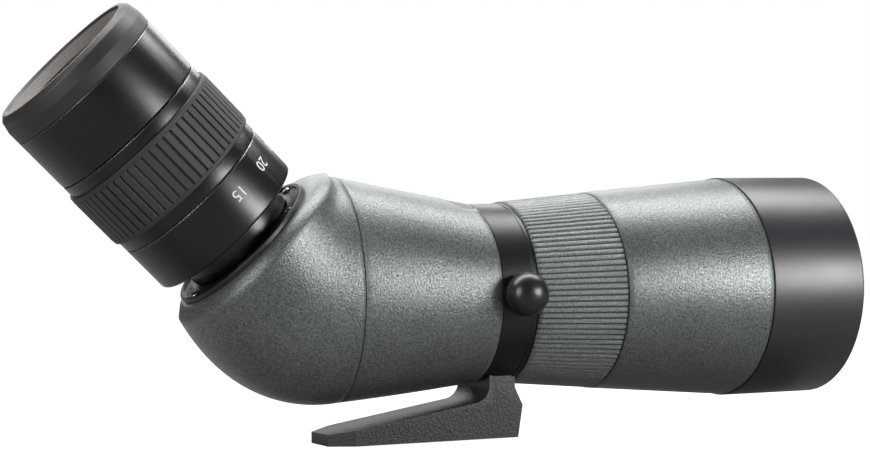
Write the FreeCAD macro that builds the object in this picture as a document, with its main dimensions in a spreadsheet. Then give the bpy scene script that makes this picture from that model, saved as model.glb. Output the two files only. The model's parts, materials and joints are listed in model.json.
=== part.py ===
"""Angled spotting scope with a zoom eyepiece, a helical focus ring and a rotating tripod collar.

Millimetres. +X runs along the tube towards the objective and +Z is up. The origin is the mouth of
the tripod socket in the underside of the foot. The eyepiece pieces are drawn along their own axis,
which leaves the middle of the eyepiece flange backwards and up.
"""
import FreeCAD, Part
import math
import os
import re
import Sketcher

doc = FreeCAD.newDocument("SpottingScope")
sheet = doc.addObject("Spreadsheet::Sheet", "Dims")

DIMENSIONS = {
    # main stations along the tube, from the socket
    "axis_height": 50.1, "collar_rear": 16.5, "collar_length": 13.5, "focus_length": 33.3,
    "barrel_length": 55.7, "sunshade_length": 38.2, "seam_gap": 0.3, "run_gap": 0.1,
    # main tube and its nut
    "tube_radius": 28.6, "tube_wall": 2.0, "spigot_step": 1.6, "spigot_wall": 2.0,
    "spigot_length": 13.5, "tube_grip": 6.0, "nut_length": 3.5, "nut_wall": 2.0,
    # collar, foot and lock
    "collar_radius": 31.2, "collar_edge": 0.4, "foot_width": 26.2, "foot_rear": 38.5, "foot_front": 30.5,
    "foot_taper": 8.1, "foot_tip_width": 16.0, "foot_tip_height": 3.9, "arm_rise": 0.164,
    "post_rear": 19.5, "post_fillet": 6.0, "post_bulge": 2.0, "post_bulge_height": 11.0,
    "post_edge": 0.8, "web_recess": 0.7, "web_border": 1.3, "socket_radius": 3.175, "bush_radius": 5.0,
    "bush_length": 9.0, "foot_screw_radius": 1.6, "foot_screw_head": 3.0, "foot_screw_head_height": 1.2,
    "foot_screw_spread": 8.0, "foot_screw_length": 9.0, "head_clearance": 0.2,
    "lock_boss_radius": 5.0, "lock_boss_height": 2.0, "lock_screw_radius": 2.0, "thread_gap": 0.05,
    "shoe_radius": 3.0, "shoe_length": 1.6, "knob_radius": 7.5, "knob_rim": 3.0, "knob_height": 9.0,
    # housing sections: crown above and belly below the tube axis, then distances from the hinge line
    "housing_wall": 2.0, "housing_mouth_radius": 31.5, "housing_half_width": 31.5,
    "mid_station": 30.0, "mid_crown": 37.1, "mid_belly": 34.6, "parting_setback": 49.8,
    "parting_crown": 40.9, "parting_belly": 36.2, "hinge_above_crown": 4.2, "elbow_belly_1": 82.1,
    "elbow_belly_2": 80.9, "elbow_belly_3": 77.9, "elbow_belly_4": 74.1, "elbow_half_width": 31.5,
    "front_wall": 8.5,
    "brow_crown": 33.6, "brow_belly": 30.2, "brow_half_width": 29.6, "brow_depth": 2.8,
    "lip_crown": 30.6, "lip_belly": 28.4, "lip_half_width": 28.2,
    "cover_gap": 0.35, "seal_inset": 0.45, "lug_length": 3.0, "lug_bore": 24.0,
    "badge_station": 11.6, "badge_length": 9.8, "badge_width": 27.0, "badge_depth": 0.8, "badge_sink": 0.15,
    # prism and its mount
    "prism_width": 26.0, "prism_top": 17.0, "prism_leg": 54.0, "prism_drop": 2.5, "prism_setback": 1.0,
    "holder_thickness": 3.0, "holder_radius": 28.9, "light_bore": 14.0, "cheek_thickness": 2.0,
    "clamp_thickness": 1.0, "small_screw": 1.25,
    "small_head": 2.2, "small_head_height": 1.3, "holder_pitch": 26.5,
    # focusing group
    "focus_rear_radius": 32.0, "focus_front_radius": 34.9, "groove_half": 1.5, "groove_depth": 1.8,
    "focus_travel": 15.0, "focus_turn": 300.0, "focus_cell_length": 14.0, "focus_cell_wall": 4.5,
    "lens_seat": 1.5, "ring_length": 2.0, "lens_gap": 0.05, "pin_gap": 0.1, "cam_floor_gap": 0.3,
    "focus_lens_edge": 3.0,
    "focus_lens_hollow": 1.5, "focus_lens_bulge": 0.4,
    # front barrel, sunshade and objective
    "barrel_rear_radius": 35.1, "barrel_front_radius": 39.8, "barrel_wall": 2.2, "guide_radius": 38.3,
    "guide_length": 31.0, "guide_wall": 1.8, "filter_radius": 36.0, "filter_length": 5.0,
    "sunshade_radius": 40.2, "sunshade_gap": 0.3, "sunshade_lip": 2.5, "felt_length": 5.0,
    "felt_depth": 0.3, "cell_station": 8.0, "cell_length": 21.0, "objective_radius": 34.0,
    "cell_lip": 1.5, "cell_lip_length": 2.0, "front_lens_edge": 3.2, "rear_lens_edge": 7.0,
    "spacer_length": 1.0, "seal_radius": 0.8, "front_lens_rear_sag": 3.2, "front_lens_front_sag": 3.6,
    "rear_lens_rear_sag": 1.5, "rear_lens_front_sag": 3.2,
    # eyepiece flange
    "eyepiece_tilt": 45.0, "eyepiece_x": 65.9, "eyepiece_rise": 19.6, "flange_radius": 27.3,
    "flange_height": 1.75, "flange_rim": 1.2, "flange_dish": 0.9, "flange_seat": 1.45, "seat_inset": 0.7,
    "flange_spigot": 22.3, "flange_spigot_length": 1.6, "flange_bore": 18.2, "flange_screw_pitch": 24.3,
    "flange_screw_turn": 5.0, "flange_screw_radius": 1.0, "flange_screw_head": 1.55,
    "flange_screw_head_height": 0.9, "flange_screw_length": 4.0,
    # bayonet
    "neck_radius": 20.5, "neck_top": 6.9, "neck_round": 2.0, "eyepiece_bore": 14.5, "lug_reach": 1.9,
    "bayonet_lug": 1.7, "lug_width": 36.0, "notch_width": 42.0, "bayonet_turn": 45.0,
    # eyepiece barrels
    "barrel_radius": 28.8, "base_thickness": 3.0, "base_top": 24.2, "base_wall": 2.3, "guide_bore": 22.0,
    "guide_tube_wall": 2.0, "guide_tube_top": 71.5, "zoom_bottom": 24.5, "grip_bottom": 28.75,
    "grip_top": 49.7, "zoom_top": 53.9, "grip_radius": 29.9, "grip_seat": 27.2, "cam_depth": 1.6,
    "cam_half": 1.3, "cam_overrun": 5.0, "zoom_turn": 110.0, "front_pin": 29.0, "front_travel": 9.0,
    "rear_pin": 50.0,
    "rear_travel": 5.0, "front_cell_bottom": 20.0, "front_cell_top": 31.0, "rear_cell_bottom": 47.5,
    "rear_cell_top": 55.5, "zoom_lens_radius": 17.0, "zoom_lens_edge": 2.5,
    "zoom_hollow": 0.8, "zoom_bulge": 0.9,
    # eyecup
    "sleeve_bottom": 54.3, "sleeve_top": 74.1, "sleeve_wall": 4.2, "sleeve_lip": 1.4, "slip_length": 8.0,
    "slip_wall": 1.7, "slip_gap": 0.1, "cap_thickness": 2.3, "cap_bore": 19.5, "cup_top": 84.0,
    "cup_rim_radius": 26.3, "cup_shoulder": 78.5, "cup_bend": 82.2, "cup_bend_radius": 27.7,
    "cup_floor_radius": 21.5, "cup_mouth_radius": 24.4, "eye_cell_bottom": 56.5, "eye_lens_radius": 19.0,
    "eye_cell_top": 71.0, "eye_lens_edge": 5.0, "eye_cell_bore": 16.5,
    "eye_lens_rear_sag": 2.0, "eye_lens_front_sag": 1.2,
}
for row, (alias, number) in enumerate(DIMENSIONS.items(), start=1):
    sheet.set(f"A{row}", alias)
    sheet.set(f"B{row}", str(number))
    sheet.setAlias(f"B{row}", alias)
doc.recompute()

# Stations that follow from the driving dimensions.
COLLAR_FRONT = "(collar_rear+collar_length)"
FOCUS_FRONT = f"({COLLAR_FRONT}+focus_length)"
BARREL_FRONT = f"({FOCUS_FRONT}+barrel_length)"
SUNSHADE_FRONT = f"({BARREL_FRONT}+sunshade_length)"
TUBE_BORE = "(tube_radius-tube_wall)"
SPIGOT = "(tube_radius-spigot_step)"
EYEPIECE_Z = "(axis_height+eyepiece_rise)"
PARTING = "(collar_rear-parting_setback)"
HINGE_Z = "(axis_height+parting_crown+hinge_above_crown)"
FOCUS_MIDDLE = f"({COLLAR_FRONT}+focus_length/2)"
GUIDE_TUBE_RADIUS = "(guide_bore+guide_tube_wall)"
KNOB_X = "(collar_rear+collar_length/2)"
ALIAS = re.compile(r"\b(" + "|".join(DIMENSIONS) + r")\b")
ORIGIN = FreeCAD.Vector(0, 0, 0)
TINY = 0.01
Y_AXIS = FreeCAD.Vector(0, 1, 0)
nodes = {}


def cell(text):
    """An expression in aliases, as the expression engine wants it."""
    return ALIAS.sub(r"Dims.\1", str(text))


def number(text):
    """The present value of an expression."""
    return float(sheet.evalExpression(cell(text)))


def bind(item, **properties):
    """Bind properties to expressions; a double underscore stands for a dot."""
    for name, text in properties.items():
        item.setExpression(name.replace("__", "."), cell(text))


def place(item, x="0", y="0", z="0", tilt=None):
    """Bind a placement: a shift, and a turn about +Y in degrees."""
    if tilt is not None:
        item.Placement = FreeCAD.Placement(ORIGIN, FreeCAD.Rotation(Y_AXIS, number(tilt)))
        bind(item, Placement__Rotation__Angle=f"({tilt}) * 1 deg")
    bind(item, Placement__Base__x=f"({x}) * 1 mm", Placement__Base__y=f"({y}) * 1 mm",
         Placement__Base__z=f"({z}) * 1 mm")


def on_tube(item):
    """Put a piece that is drawn along X onto the tube's axis."""
    place(item, z="axis_height")


def on_eyepiece(item):
    """Put a piece that is drawn along X onto the eyepiece's axis."""
    place(item, x="-eyepiece_x", z=EYEPIECE_Z, tilt="eyepiece_tilt-180")


def on_lock(item):
    """Put a piece that is drawn along X onto the lock screw's axis, pointing to -Y."""
    item.Placement = FreeCAD.Placement(ORIGIN, FreeCAD.Rotation(FreeCAD.Vector(0, 0, 1), -90))
    bind(item, Placement__Base__x=f"{KNOB_X} * 1 mm", Placement__Base__z="axis_height * 1 mm")


def keep(item, label):
    """File a finished piece under its node name."""
    item.Label = label
    nodes[label] = item
    return item


def new_sketch(body, name, role, offset="0"):
    """A sketch on one of the body's own origin planes, shifted along the plane's normal."""
    sketch = body.newObject("Sketcher::SketchObject", name)
    plane = next(feature for feature in body.Origin.OriginFeatures if feature.Role == role)
    sketch.AttachmentSupport = [(plane, "")]
    sketch.MapMode = "FlatFace"
    if offset != "0":
        bind(sketch, AttachmentOffset__Base__z=f"({offset}) * 1 mm")
    return sketch


def pin_point(sketch, geometry, position, x, y):
    """Dimension one point of a sketch from the sketch's origin."""
    for kind, text, axis in (("DistanceX", x, -2), ("DistanceY", y, -1)):
        size = number(text)
        if text == "0":
            sketch.addConstraint(Sketcher.Constraint("PointOnObject", geometry, position, axis))
        elif size > 0:
            index = sketch.addConstraint(Sketcher.Constraint(kind, -1, 1, geometry, position, size))
            sketch.setExpression(f"Constraints[{index}]", cell(text))
        else:
            index = sketch.addConstraint(Sketcher.Constraint(kind, geometry, position, -1, 1, -size))
            sketch.setExpression(f"Constraints[{index}]", cell(f"-({text})"))


def outline(sketch, points):
    """A closed outline of straight lines through dimensioned points."""
    spots = [FreeCAD.Vector(number(x), number(y), 0) for x, y in points]
    base = sketch.GeometryCount
    count = len(spots)
    for index in range(count):
        sketch.addGeometry(Part.LineSegment(spots[index], spots[(index + 1) % count]), False)
    for index in range(count):
        sketch.addConstraint(Sketcher.Constraint("Coincident", base + index, 2, base + (index + 1) % count,
                                                 1))
    for index, (x, y) in enumerate(points):
        pin_point(sketch, base + index, 1, x, y)


def discs(sketch, circles):
    """Circles with a dimensioned centre and radius."""
    for x, y, radius in circles:
        centre = FreeCAD.Vector(number(x), number(y), 0)
        up = FreeCAD.Vector(0, 0, 1)
        index = sketch.addGeometry(Part.Circle(centre, up, number(radius)), False)
        pin_point(sketch, index, 3, x, y)
        size = sketch.addConstraint(Sketcher.Constraint("Radius", index, number(radius)))
        sketch.setExpression(f"Constraints[{size}]", cell(radius))


def roll(sketch, way, angle):
    """Lean a sketch about its own x axis."""
    sketch.AttachmentOffset = FreeCAD.Placement(ORIGIN,
                                                FreeCAD.Rotation(FreeCAD.Vector(way, 0, 0), number(angle)))
    bind(sketch, AttachmentOffset__Rotation__Angle=f"({angle}) * 1 deg")


def lathe(body, name, points, kind="Revolution", angle=None, azimuth=None):
    """Turn an outline of (along, radius) points about the body's X axis, fully or as a sector of the
    given angle with its middle at an azimuth."""
    sketch = new_sketch(body, name + "_outline", "XZ_Plane")
    if azimuth:
        roll(sketch, 1, azimuth)
    outline(sketch, points)
    turn = body.newObject("PartDesign::" + kind, name)
    turn.Profile = sketch
    turn.ReferenceAxis = (sketch, ["H_Axis"])
    turn.Angle = 360
    if angle:
        turn.Midplane = True
        bind(turn, Angle=f"({angle}) * 1 deg")
    sketch.Visibility = False
    doc.recompute()
    return turn


def around(body, feature, name, count):
    """Repeat a feature evenly about the body's X axis."""
    pattern = body.newObject("PartDesign::PolarPattern", name)
    pattern.Originals = [feature]
    axis = next(item for item in body.Origin.OriginFeatures if item.Role == "X_Axis")
    pattern.Axis = (axis, [""])
    pattern.Angle = 360
    pattern.Occurrences = count
    body.Tip = pattern
    doc.recompute()
    return pattern


def turned(label, points, seat):
    """A turned piece: its outline, and its seat on the scope."""
    body = doc.addObject("PartDesign::Body", label + "_body")
    lathe(body, label + "_turn", points)
    seat(body)
    return keep(body, label)


def rod(name, radius, start, length, side=None):
    """A plain cylinder along +X, or along +Z when side gives its (x, y)."""
    solid = doc.addObject("Part::Cylinder", name)
    bind(solid, Radius=f"({radius}) * 1 mm", Height=f"({length}) * 1 mm")
    if side:
        place(solid, x=side[0], y=side[1], z=start)
    else:
        place(solid, x=start, tilt="90")
    return solid


def slab(name, low, size):
    """A box from its low corner and its three sizes."""
    solid = doc.addObject("Part::Box", name)
    bind(solid, Length=f"({size[0]}) * 1 mm", Width=f"({size[1]}) * 1 mm", Height=f"({size[2]}) * 1 mm")
    place(solid, x=low[0], y=low[1], z=low[2])
    return solid


def boolean(kind, name, base, tool):
    """A cut or a common of two objects."""
    result = doc.addObject("Part::" + kind, name)
    result.Base = base
    result.Tool = tool
    return result


def joined(name, solids):
    """Several solids as one object."""
    result = doc.addObject("Part::MultiFuse", name)
    result.Shapes = solids
    return result


def pocket(body, name, role, offset, draw, depth, upward=False):
    """Cut what draw() puts in a sketch, from the offset plane down its normal, or up it."""
    sketch = new_sketch(body, name + "_outline", role, offset)
    draw(sketch)
    cut = body.newObject("PartDesign::Pocket", name)
    cut.Profile = sketch
    bind(cut, Length=f"({depth}) * 1 mm")
    cut.Reversed = upward
    sketch.Visibility = False
    doc.recompute()
    return cut


def pad(body, name, role, offset, points, length, midplane=False):
    """Pad an outline by a length, from the offset plane or evenly to both sides of it."""
    sketch = new_sketch(body, name + "_outline", role, offset)
    outline(sketch, points)
    solid = body.newObject("PartDesign::Pad", name)
    solid.Profile = sketch
    bind(solid, Length=f"({length}) * 1 mm")
    solid.Midplane = midplane
    sketch.Visibility = False
    doc.recompute()
    return solid


def slot(sketch, low, high, half):
    """A square-ended slot along the sketch's x axis."""
    outline(sketch, [(low, f"-({half})"), (high, f"-({half})"), (high, half), (low, half)])


def cam_groove(body, name, start, bore, half, depth, travel, turn, before, after, side=1, left=False,
               back=False):
    """Cut a helical groove into a bore. It passes the pin's station over the XZ plane, on the given
    side of the axis, and runs on by angles before and after it."""
    ahead = 1 if left == back else -1
    along = -1 if back else 1
    sketch = new_sketch(body, name + "_outline", "XZ_Plane")
    roll(sketch, -ahead, before)
    sign = "" if side > 0 else "-1*"
    inner = f"{sign}(({bore})-1)"
    outer = f"{sign}(({bore})+({depth}))"
    first = f"(({start})-({along})*({travel})*({before})/({turn}))"
    low = f"{first}-({half})"
    high = f"{first}+({half})"
    outline(sketch, [(low, inner), (high, inner), (high, outer), (low, outer)])
    groove = body.newObject("PartDesign::SubtractiveHelix", name)
    groove.Profile = sketch
    groove.ReferenceAxis = (sketch, ["H_Axis"])
    groove.Mode = 0
    groove.LeftHanded = left
    groove.Reversed = back
    bind(groove, Pitch=f"({travel})*360/({turn}) * 1 mm",
         Height=f"({travel})*(({before})+({after}))/({turn}) * 1 mm")
    sketch.Visibility = False
    doc.recompute()
    return groove


def relief(radius, sag, lip):
    """How far a lens's bulging face rises over its edge at the radius of the lip that holds it."""
    curve = f"((({radius})^2+({sag})^2)/(2*({sag})))"
    return f"(sqrt({curve}^2-({lip})^2)-{curve}+({sag}))"


def lens(label, radius, rear, edge, rear_face, front_face, seat):
    """A glass disc with spherical faces, each given as ("bulge" or "hollow", depth)."""
    rear_grow = rear_face[1] if rear_face[0] == "bulge" else "0"
    front_grow = front_face[1] if front_face[0] == "bulge" else "0"
    glass = rod(label + "_blank", radius, f"({rear})-{rear_grow}", f"({edge})+{rear_grow}+{front_grow}")
    for side, (form, depth), plane, outward in (("rear", rear_face, rear, -1),
                                                ("front", front_face, f"({rear})+({edge})", 1)):
        ball = doc.addObject("Part::Sphere", f"{label}_{side}_ball")
        curve = f"((({radius})^2+({depth})^2)/(2*({depth})))"
        bind(ball, Radius=f"{curve} * 1 mm")
        inward = -outward if form == "bulge" else outward
        place(ball, x=f"({plane})+({inward})*({curve}-({depth}))")
        glass = boolean("Common" if form == "bulge" else "Cut", f"{label}_{side}_face", glass, ball)
    seat(glass)
    return keep(glass, label)


# --- Tripod foot: a cast wedge with a post up to the collar --------------------------------------
FOOT_HALF = "(foot_width/2)"
ARM_AT_POST = "(foot_tip_height+arm_rise*(post_rear+foot_rear))"
POST_TOP = "(axis_height-collar_radius*0.88)"
FOOT_SIDE = [
    ("-foot_rear", "0"), ("foot_front", "0"), ("foot_front+post_bulge", "post_bulge_height"),
    (f"{COLLAR_FRONT}-seam_gap-0.1", "axis_height-focus_rear_radius-post_edge"),
    (f"{COLLAR_FRONT}-seam_gap-0.1", POST_TOP), ("post_rear", POST_TOP), ("post_rear", ARM_AT_POST),
    ("-foot_rear", "foot_tip_height"),
]
foot = doc.addObject("PartDesign::Body", "foot_body")
wedge = pad(foot, "foot_wedge", "XZ_Plane", "0", FOOT_SIDE, "foot_width", midplane=True)
CORNER = (number("post_rear"), number(ARM_AT_POST))
inner_edges = [f"Edge{index}" for index, edge in enumerate(wedge.Shape.Edges, start=1)
               if all(math.dist((vertex.X, vertex.Z), CORNER) < TINY for vertex in edge.Vertexes)]
foot_fillet = foot.newObject("PartDesign::Fillet", "foot_fillet")
foot_fillet.Base = (wedge, inner_edges)
bind(foot_fillet, Radius="post_fillet * 1 mm")
doc.recompute()


def foot_corners(sketch):
    for side in ("", "-"):
        far = f"{side}({FOOT_HALF}+1)"
        outline(sketch, [("-foot_rear-1", far), ("-foot_rear+foot_taper", far),
                         ("-foot_rear+foot_taper",
                          f"{side}{FOOT_HALF}"), ("-foot_rear", f"{side}foot_tip_width/2"),
                         ("-foot_rear-1", f"{side}foot_tip_width/2")])


def foot_web(sketch):
    outline(sketch, [
        ("-foot_rear+foot_taper+web_border", "0.01"), ("foot_front+post_bulge+1", "0.01"),
        ("foot_front+post_bulge+1", f"{POST_TOP}+1"), ("post_rear+web_border", f"{POST_TOP}+1"),
        ("post_rear+web_border", f"{ARM_AT_POST}-web_border"),
        ("-foot_rear+foot_taper+web_border", "foot_tip_height+arm_rise*(foot_taper+web_border)-web_border"),
    ])


pocket(foot, "foot_corner_cut", "XY_Plane", "0", foot_corners, "axis_height", upward=True)
pocket(foot, "foot_web_left", "XZ_Plane", f"{FOOT_HALF}-web_recess", foot_web, "web_recess+1", upward=True)
pocket(foot, "foot_web_right", "XZ_Plane", f"web_recess-{FOOT_HALF}", foot_web, "web_recess+1")
pocket(foot, "foot_saddle", "YZ_Plane", "-foot_rear",
       lambda sketch: discs(sketch, [("0", "axis_height", "collar_radius")]),
       "2*foot_rear+foot_front", upward=True)
pocket(foot, "foot_bush_hole", "XY_Plane", "0", lambda sketch: discs(sketch, [("0", "0", "bush_radius")]),
       "bush_length", upward=True)
SCREW_X = "((post_rear+collar_rear+collar_length)/2-0.2)"
HEAD_TOP = "(axis_height-sqrt(tube_radius^2-(foot_screw_spread-foot_screw_head)^2)-head_clearance)"
HEAD_SEAT = f"({HEAD_TOP}-foot_screw_head_height)"
SCREW_SPOTS = [(SCREW_X, "foot_screw_spread"), (SCREW_X, "-foot_screw_spread")]


def screw_circles(radius):
    """A sketch of one circle for each foot screw."""
    return lambda sketch: discs(sketch, [(x, y, radius) for x, y in SCREW_SPOTS])


pocket(foot, "foot_screw_holes", "XY_Plane", HEAD_SEAT, screw_circles("foot_screw_radius+thread_gap"),
       "foot_screw_length")
pocket(foot, "foot_head_room", "XY_Plane", HEAD_SEAT, screw_circles("foot_screw_head+head_clearance"),
       "collar_radius", upward=True)
keep(foot, "tripod_foot")

bush = doc.addObject("PartDesign::Body", "bush_body")
lathe(bush, "bush_turn", [("0", "socket_radius"), ("bush_length", "socket_radius"),
                                 ("bush_length", "bush_radius"), ("0", "bush_radius")])
place(bush, tilt="-90")
keep(bush, "tripod_bush")

# --- Collar: a ring that the tube turns in, with a boss for the lock screw -------------------------
collar = doc.addObject("PartDesign::Body", "collar_body")
COLLAR_START = "(collar_rear+seam_gap)"
COLLAR_END = f"({COLLAR_FRONT}-seam_gap)"
COLLAR_BORE = "(tube_radius+run_gap)"
lathe(collar, "collar_ring", [
    (COLLAR_START, COLLAR_BORE), (COLLAR_END, COLLAR_BORE), (COLLAR_END, "collar_radius-collar_edge"),
    (f"{COLLAR_END}-collar_edge", "collar_radius"), (f"{COLLAR_START}+collar_edge", "collar_radius"),
    (COLLAR_START, "collar_radius-collar_edge")])
boss_sketch = new_sketch(collar, "lock_boss_outline", "XZ_Plane", "collar_radius-1")
discs(boss_sketch, [(KNOB_X, "0", "lock_boss_radius")])
boss = collar.newObject("PartDesign::Pad", "lock_boss")
boss.Profile = boss_sketch
bind(boss, Length="(lock_boss_height+1) * 1 mm")
doc.recompute()
pocket(collar, "lock_thread", "XZ_Plane", "collar_radius-2",
       lambda sketch: discs(sketch, [(KNOB_X, "0", "lock_screw_radius")]), "lock_boss_height+3", upward=True)
pocket(collar, "shoe_hole", "XZ_Plane", "tube_radius-3",
       lambda sketch: discs(sketch, [(KNOB_X, "0",
                                      "shoe_radius+run_gap")]), "collar_radius-tube_radius+3", upward=True)
pocket(collar, "foot_head_seats", "XY_Plane", f"{HEAD_SEAT}-axis_height",
       screw_circles("foot_screw_head+head_clearance"), "collar_radius-tube_radius+2", upward=True)
pocket(collar, "foot_shank_holes", "XY_Plane", f"{HEAD_SEAT}-axis_height+1",
       screw_circles("foot_screw_radius+thread_gap"), "collar_radius")
on_tube(collar)
keep(collar, "tripod_collar")

screws = []
for index, spot in enumerate(SCREW_SPOTS):
    shank = rod(f"foot_shank_{index}", "foot_screw_radius", f"{HEAD_SEAT}-foot_screw_length",
                "foot_screw_length+0.5", side=spot)
    head = rod(f"foot_head_{index}", "foot_screw_head", HEAD_SEAT, "foot_screw_head_height", side=spot)
    screws.append(joined(f"foot_screw_{index}", [shank, head]))
keep(joined("foot_screw_group", screws), "foot_screws")

# --- Lock: a brake shoe on the tube, pressed by the knob's screw ----------------------------------
SHOE_START = "(tube_radius+run_gap)"
SHOE_END = f"({SHOE_START}+shoe_length)"
KNOB_START = "(collar_radius+lock_boss_height+seam_gap)"
turned("lock_shoe", [(SHOE_START, "0"), (SHOE_END, "0"), (SHOE_END, "shoe_radius"),
                     (SHOE_START, "shoe_radius")], on_lock)
turned("lock_screw", [(f"{SHOE_END}+run_gap", "0"), (f"{KNOB_START}+knob_rim", "0"),
                      (f"{KNOB_START}+knob_rim", "lock_screw_radius-thread_gap"),
                      (f"{SHOE_END}+run_gap", "lock_screw_radius-thread_gap")], on_lock)
dome = [(f"{KNOB_START}+knob_rim+(knob_height-knob_rim)*{rise}", f"knob_radius*{reach}")
        for rise, reach in ((0.35, 0.93), (0.65, 0.75), (0.88, 0.45))]
turned("lock_knob", [
    (KNOB_START, "lock_screw_radius-thread_gap"), (f"{KNOB_START}+knob_rim", "lock_screw_radius-thread_gap"),
    (f"{KNOB_START}+knob_rim", "0"), (f"{KNOB_START}+knob_height", "0"), *reversed(dome),
    (f"{KNOB_START}+knob_rim", "knob_radius"), (KNOB_START, "knob_radius-0.4")], on_lock)

# --- Main tube and the nut that pulls it into the housing ----------------------------------------
TUBE_REAR = "(collar_rear-spigot_length)"
FOCUS_PIN_X = FOCUS_MIDDLE
tube = doc.addObject("PartDesign::Body", "tube_body")
lathe(tube, "tube_turn", [
    (TUBE_REAR, f"{SPIGOT}-spigot_wall"), ("collar_rear", f"{SPIGOT}-spigot_wall"),
    ("collar_rear+3", TUBE_BORE), (f"{FOCUS_FRONT}+tube_grip", TUBE_BORE),
    (f"{FOCUS_FRONT}+tube_grip", "tube_radius"), ("collar_rear",
                                                  "tube_radius"), ("collar_rear", SPIGOT),
    (TUBE_REAR, SPIGOT)])
pocket(tube, "pin_slot", "XY_Plane", f"{TUBE_BORE}-2",
       lambda sketch: slot(sketch, f"{FOCUS_PIN_X}-focus_travel/2-groove_half",
                           f"{FOCUS_PIN_X}+focus_travel/2+groove_half",
                           "groove_half"), "tube_wall+4", upward=True)
on_tube(tube)
keep(tube, "main_tube")
CAVITY_FRONT = "(collar_rear-front_wall)"
turned("tube_nut", [(f"{CAVITY_FRONT}-nut_length", SPIGOT), (CAVITY_FRONT, SPIGOT),
                    (CAVITY_FRONT,
                     f"{SPIGOT}+nut_wall"), (f"{CAVITY_FRONT}-nut_length", f"{SPIGOT}+nut_wall")],
       on_tube)
turned("tube_baffle", [(f"{TUBE_REAR}+2", f"{SPIGOT}-spigot_wall-4"),
                       (f"{TUBE_REAR}+3", f"{SPIGOT}-spigot_wall-4"),
                       (f"{TUBE_REAR}+3",
                        f"{SPIGOT}-spigot_wall"), (f"{TUBE_REAR}+2", f"{SPIGOT}-spigot_wall")],
       on_tube)

# --- Prism housing: one hollow casting in two shells, an elbow from the tube to the eyepiece -------


def section(name, x, z, lean, crown, belly, half_width, inset="0"):
    """An ellipse in a plane leaned by an angle: crown and belly are measured from the (x, z) point."""
    ring = doc.addObject("Part::Ellipse", name)
    bind(ring, MajorRadius=f"(({crown})+({belly})-2*({inset}))/2 * 1 mm",
         MinorRadius=f"(({half_width})-({inset})) * 1 mm")
    rise = f"((({crown})-({belly}))/2)"
    place(ring, x=f"({x})+{rise}*sin({lean})", z=f"({z})+{rise}*cos({lean})", tilt=f"({lean})/1 deg-90")
    return ring


def eyepiece_plane(depth):
    """The point on the eyepiece axis that lies this deep under the flange."""
    return (f"(({depth})*cos(eyepiece_tilt * 1 deg)-eyepiece_x)",
            f"({EYEPIECE_Z}-({depth})*sin(eyepiece_tilt * 1 deg))")


def elbow(name, lean, belly, inset):
    """A section in a plane through the hinge line above the crown."""
    return section(name, PARTING, HINGE_Z, f"({lean}) * 1 deg", "-hinge_above_crown", belly,
                   "elbow_half_width", inset)


def loft(name, sections, ruled=False):
    """A solid through a row of closed sections."""
    solid = doc.addObject("Part::Loft", name)
    solid.Sections = sections
    solid.Solid = True
    solid.Ruled = ruled
    return solid


def shell_form(name, inset, front="collar_rear", domed=False):
    """The housing's form from the tube to the elbow's end, moved in by an inset."""
    mouth = section(name + "_mouth", front, "axis_height", "0 deg", "housing_mouth_radius",
                    "housing_mouth_radius-0.01",
                    "housing_mouth_radius-0.01", inset)
    middle = section(name + "_mid", "collar_rear-mid_station", "axis_height", "0 deg", "mid_crown",
                     "mid_belly",
                     "housing_half_width", inset)
    parting = elbow(name + "_parting", "0", "hinge_above_crown+parting_crown+parting_belly", inset)
    bends = [elbow(f"{name}_bend_{step}", f"eyepiece_tilt*{step}/4", f"elbow_belly_{step}",
                   inset) for step in (1, 2, 3, 4)]
    pieces = [loft(name + "_straight", [mouth, middle, parting]), loft(name + "_elbow", [parting, *bends])]
    if domed:
        rings = [bends[-1]]
        for part, depth in (("brow", "brow_depth"), ("lip", "flange_height")):
            x, z = eyepiece_plane(depth)
            rings.append(section(f"{name}_{part}", x, z, "eyepiece_tilt * 1 deg", part + "_crown",
                                 part + "_belly",
                                 part + "_half_width", inset))
        pieces.append(loft(name + "_dome", rings, ruled=True))
    return joined(name, pieces)


outer_form = shell_form("outer_form", "0", domed=True)
hollow_form = shell_form("hollow_form", "housing_wall", front=CAVITY_FRONT)
HOLDER_REAR = f"({PARTING}+prism_setback)"
LUG_REAR = f"({HOLDER_REAR}+holder_thickness)"
WIDE = "(2*housing_mouth_radius+40)"
lug_plate = slab("lug_plate", (LUG_REAR, f"-{WIDE}/2", f"axis_height-{WIDE}/2"), ("lug_length", WIDE, WIDE))
lug_hole = rod("lug_hole", "lug_bore", f"{LUG_REAR}-1", "lug_length+2")
place(lug_hole, x=f"{LUG_REAR}-1", z="axis_height", tilt="90")
cavity = boolean("Cut", "cavity", hollow_form, boolean("Cut", "lug_ring", lug_plate, lug_hole))
spigot_hole = rod("spigot_hole", SPIGOT, f"{CAVITY_FRONT}-1", "front_wall+2")
place(spigot_hole, x=f"{CAVITY_FRONT}-1", z="axis_height", tilt="90")


def flange_angle(index):
    return f"(flange_screw_turn+{60 * index}) * 1 deg"


def eyepiece_rod(name, radius, start, length, turn=None):
    """A cylinder along the eyepiece axis, or beside it at the flange screws' pitch."""
    solid = doc.addObject("Part::Cylinder", name)
    bind(solid, Radius=f"({radius}) * 1 mm", Height=f"({length}) * 1 mm")
    along = f"({start})"
    up = "0" if turn is None else f"(flange_screw_pitch*cos({turn}))"
    side = "0" if turn is None else f"(flange_screw_pitch*sin({turn}))"
    tilt = "(eyepiece_tilt * 1 deg)"
    place(solid, x=f"{up}*sin{tilt}-{along}*cos{tilt}-eyepiece_x", y=side,
          z=f"{EYEPIECE_Z}+{up}*cos{tilt}+{along}*sin{tilt}", tilt="eyepiece_tilt-90")
    return solid


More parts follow.
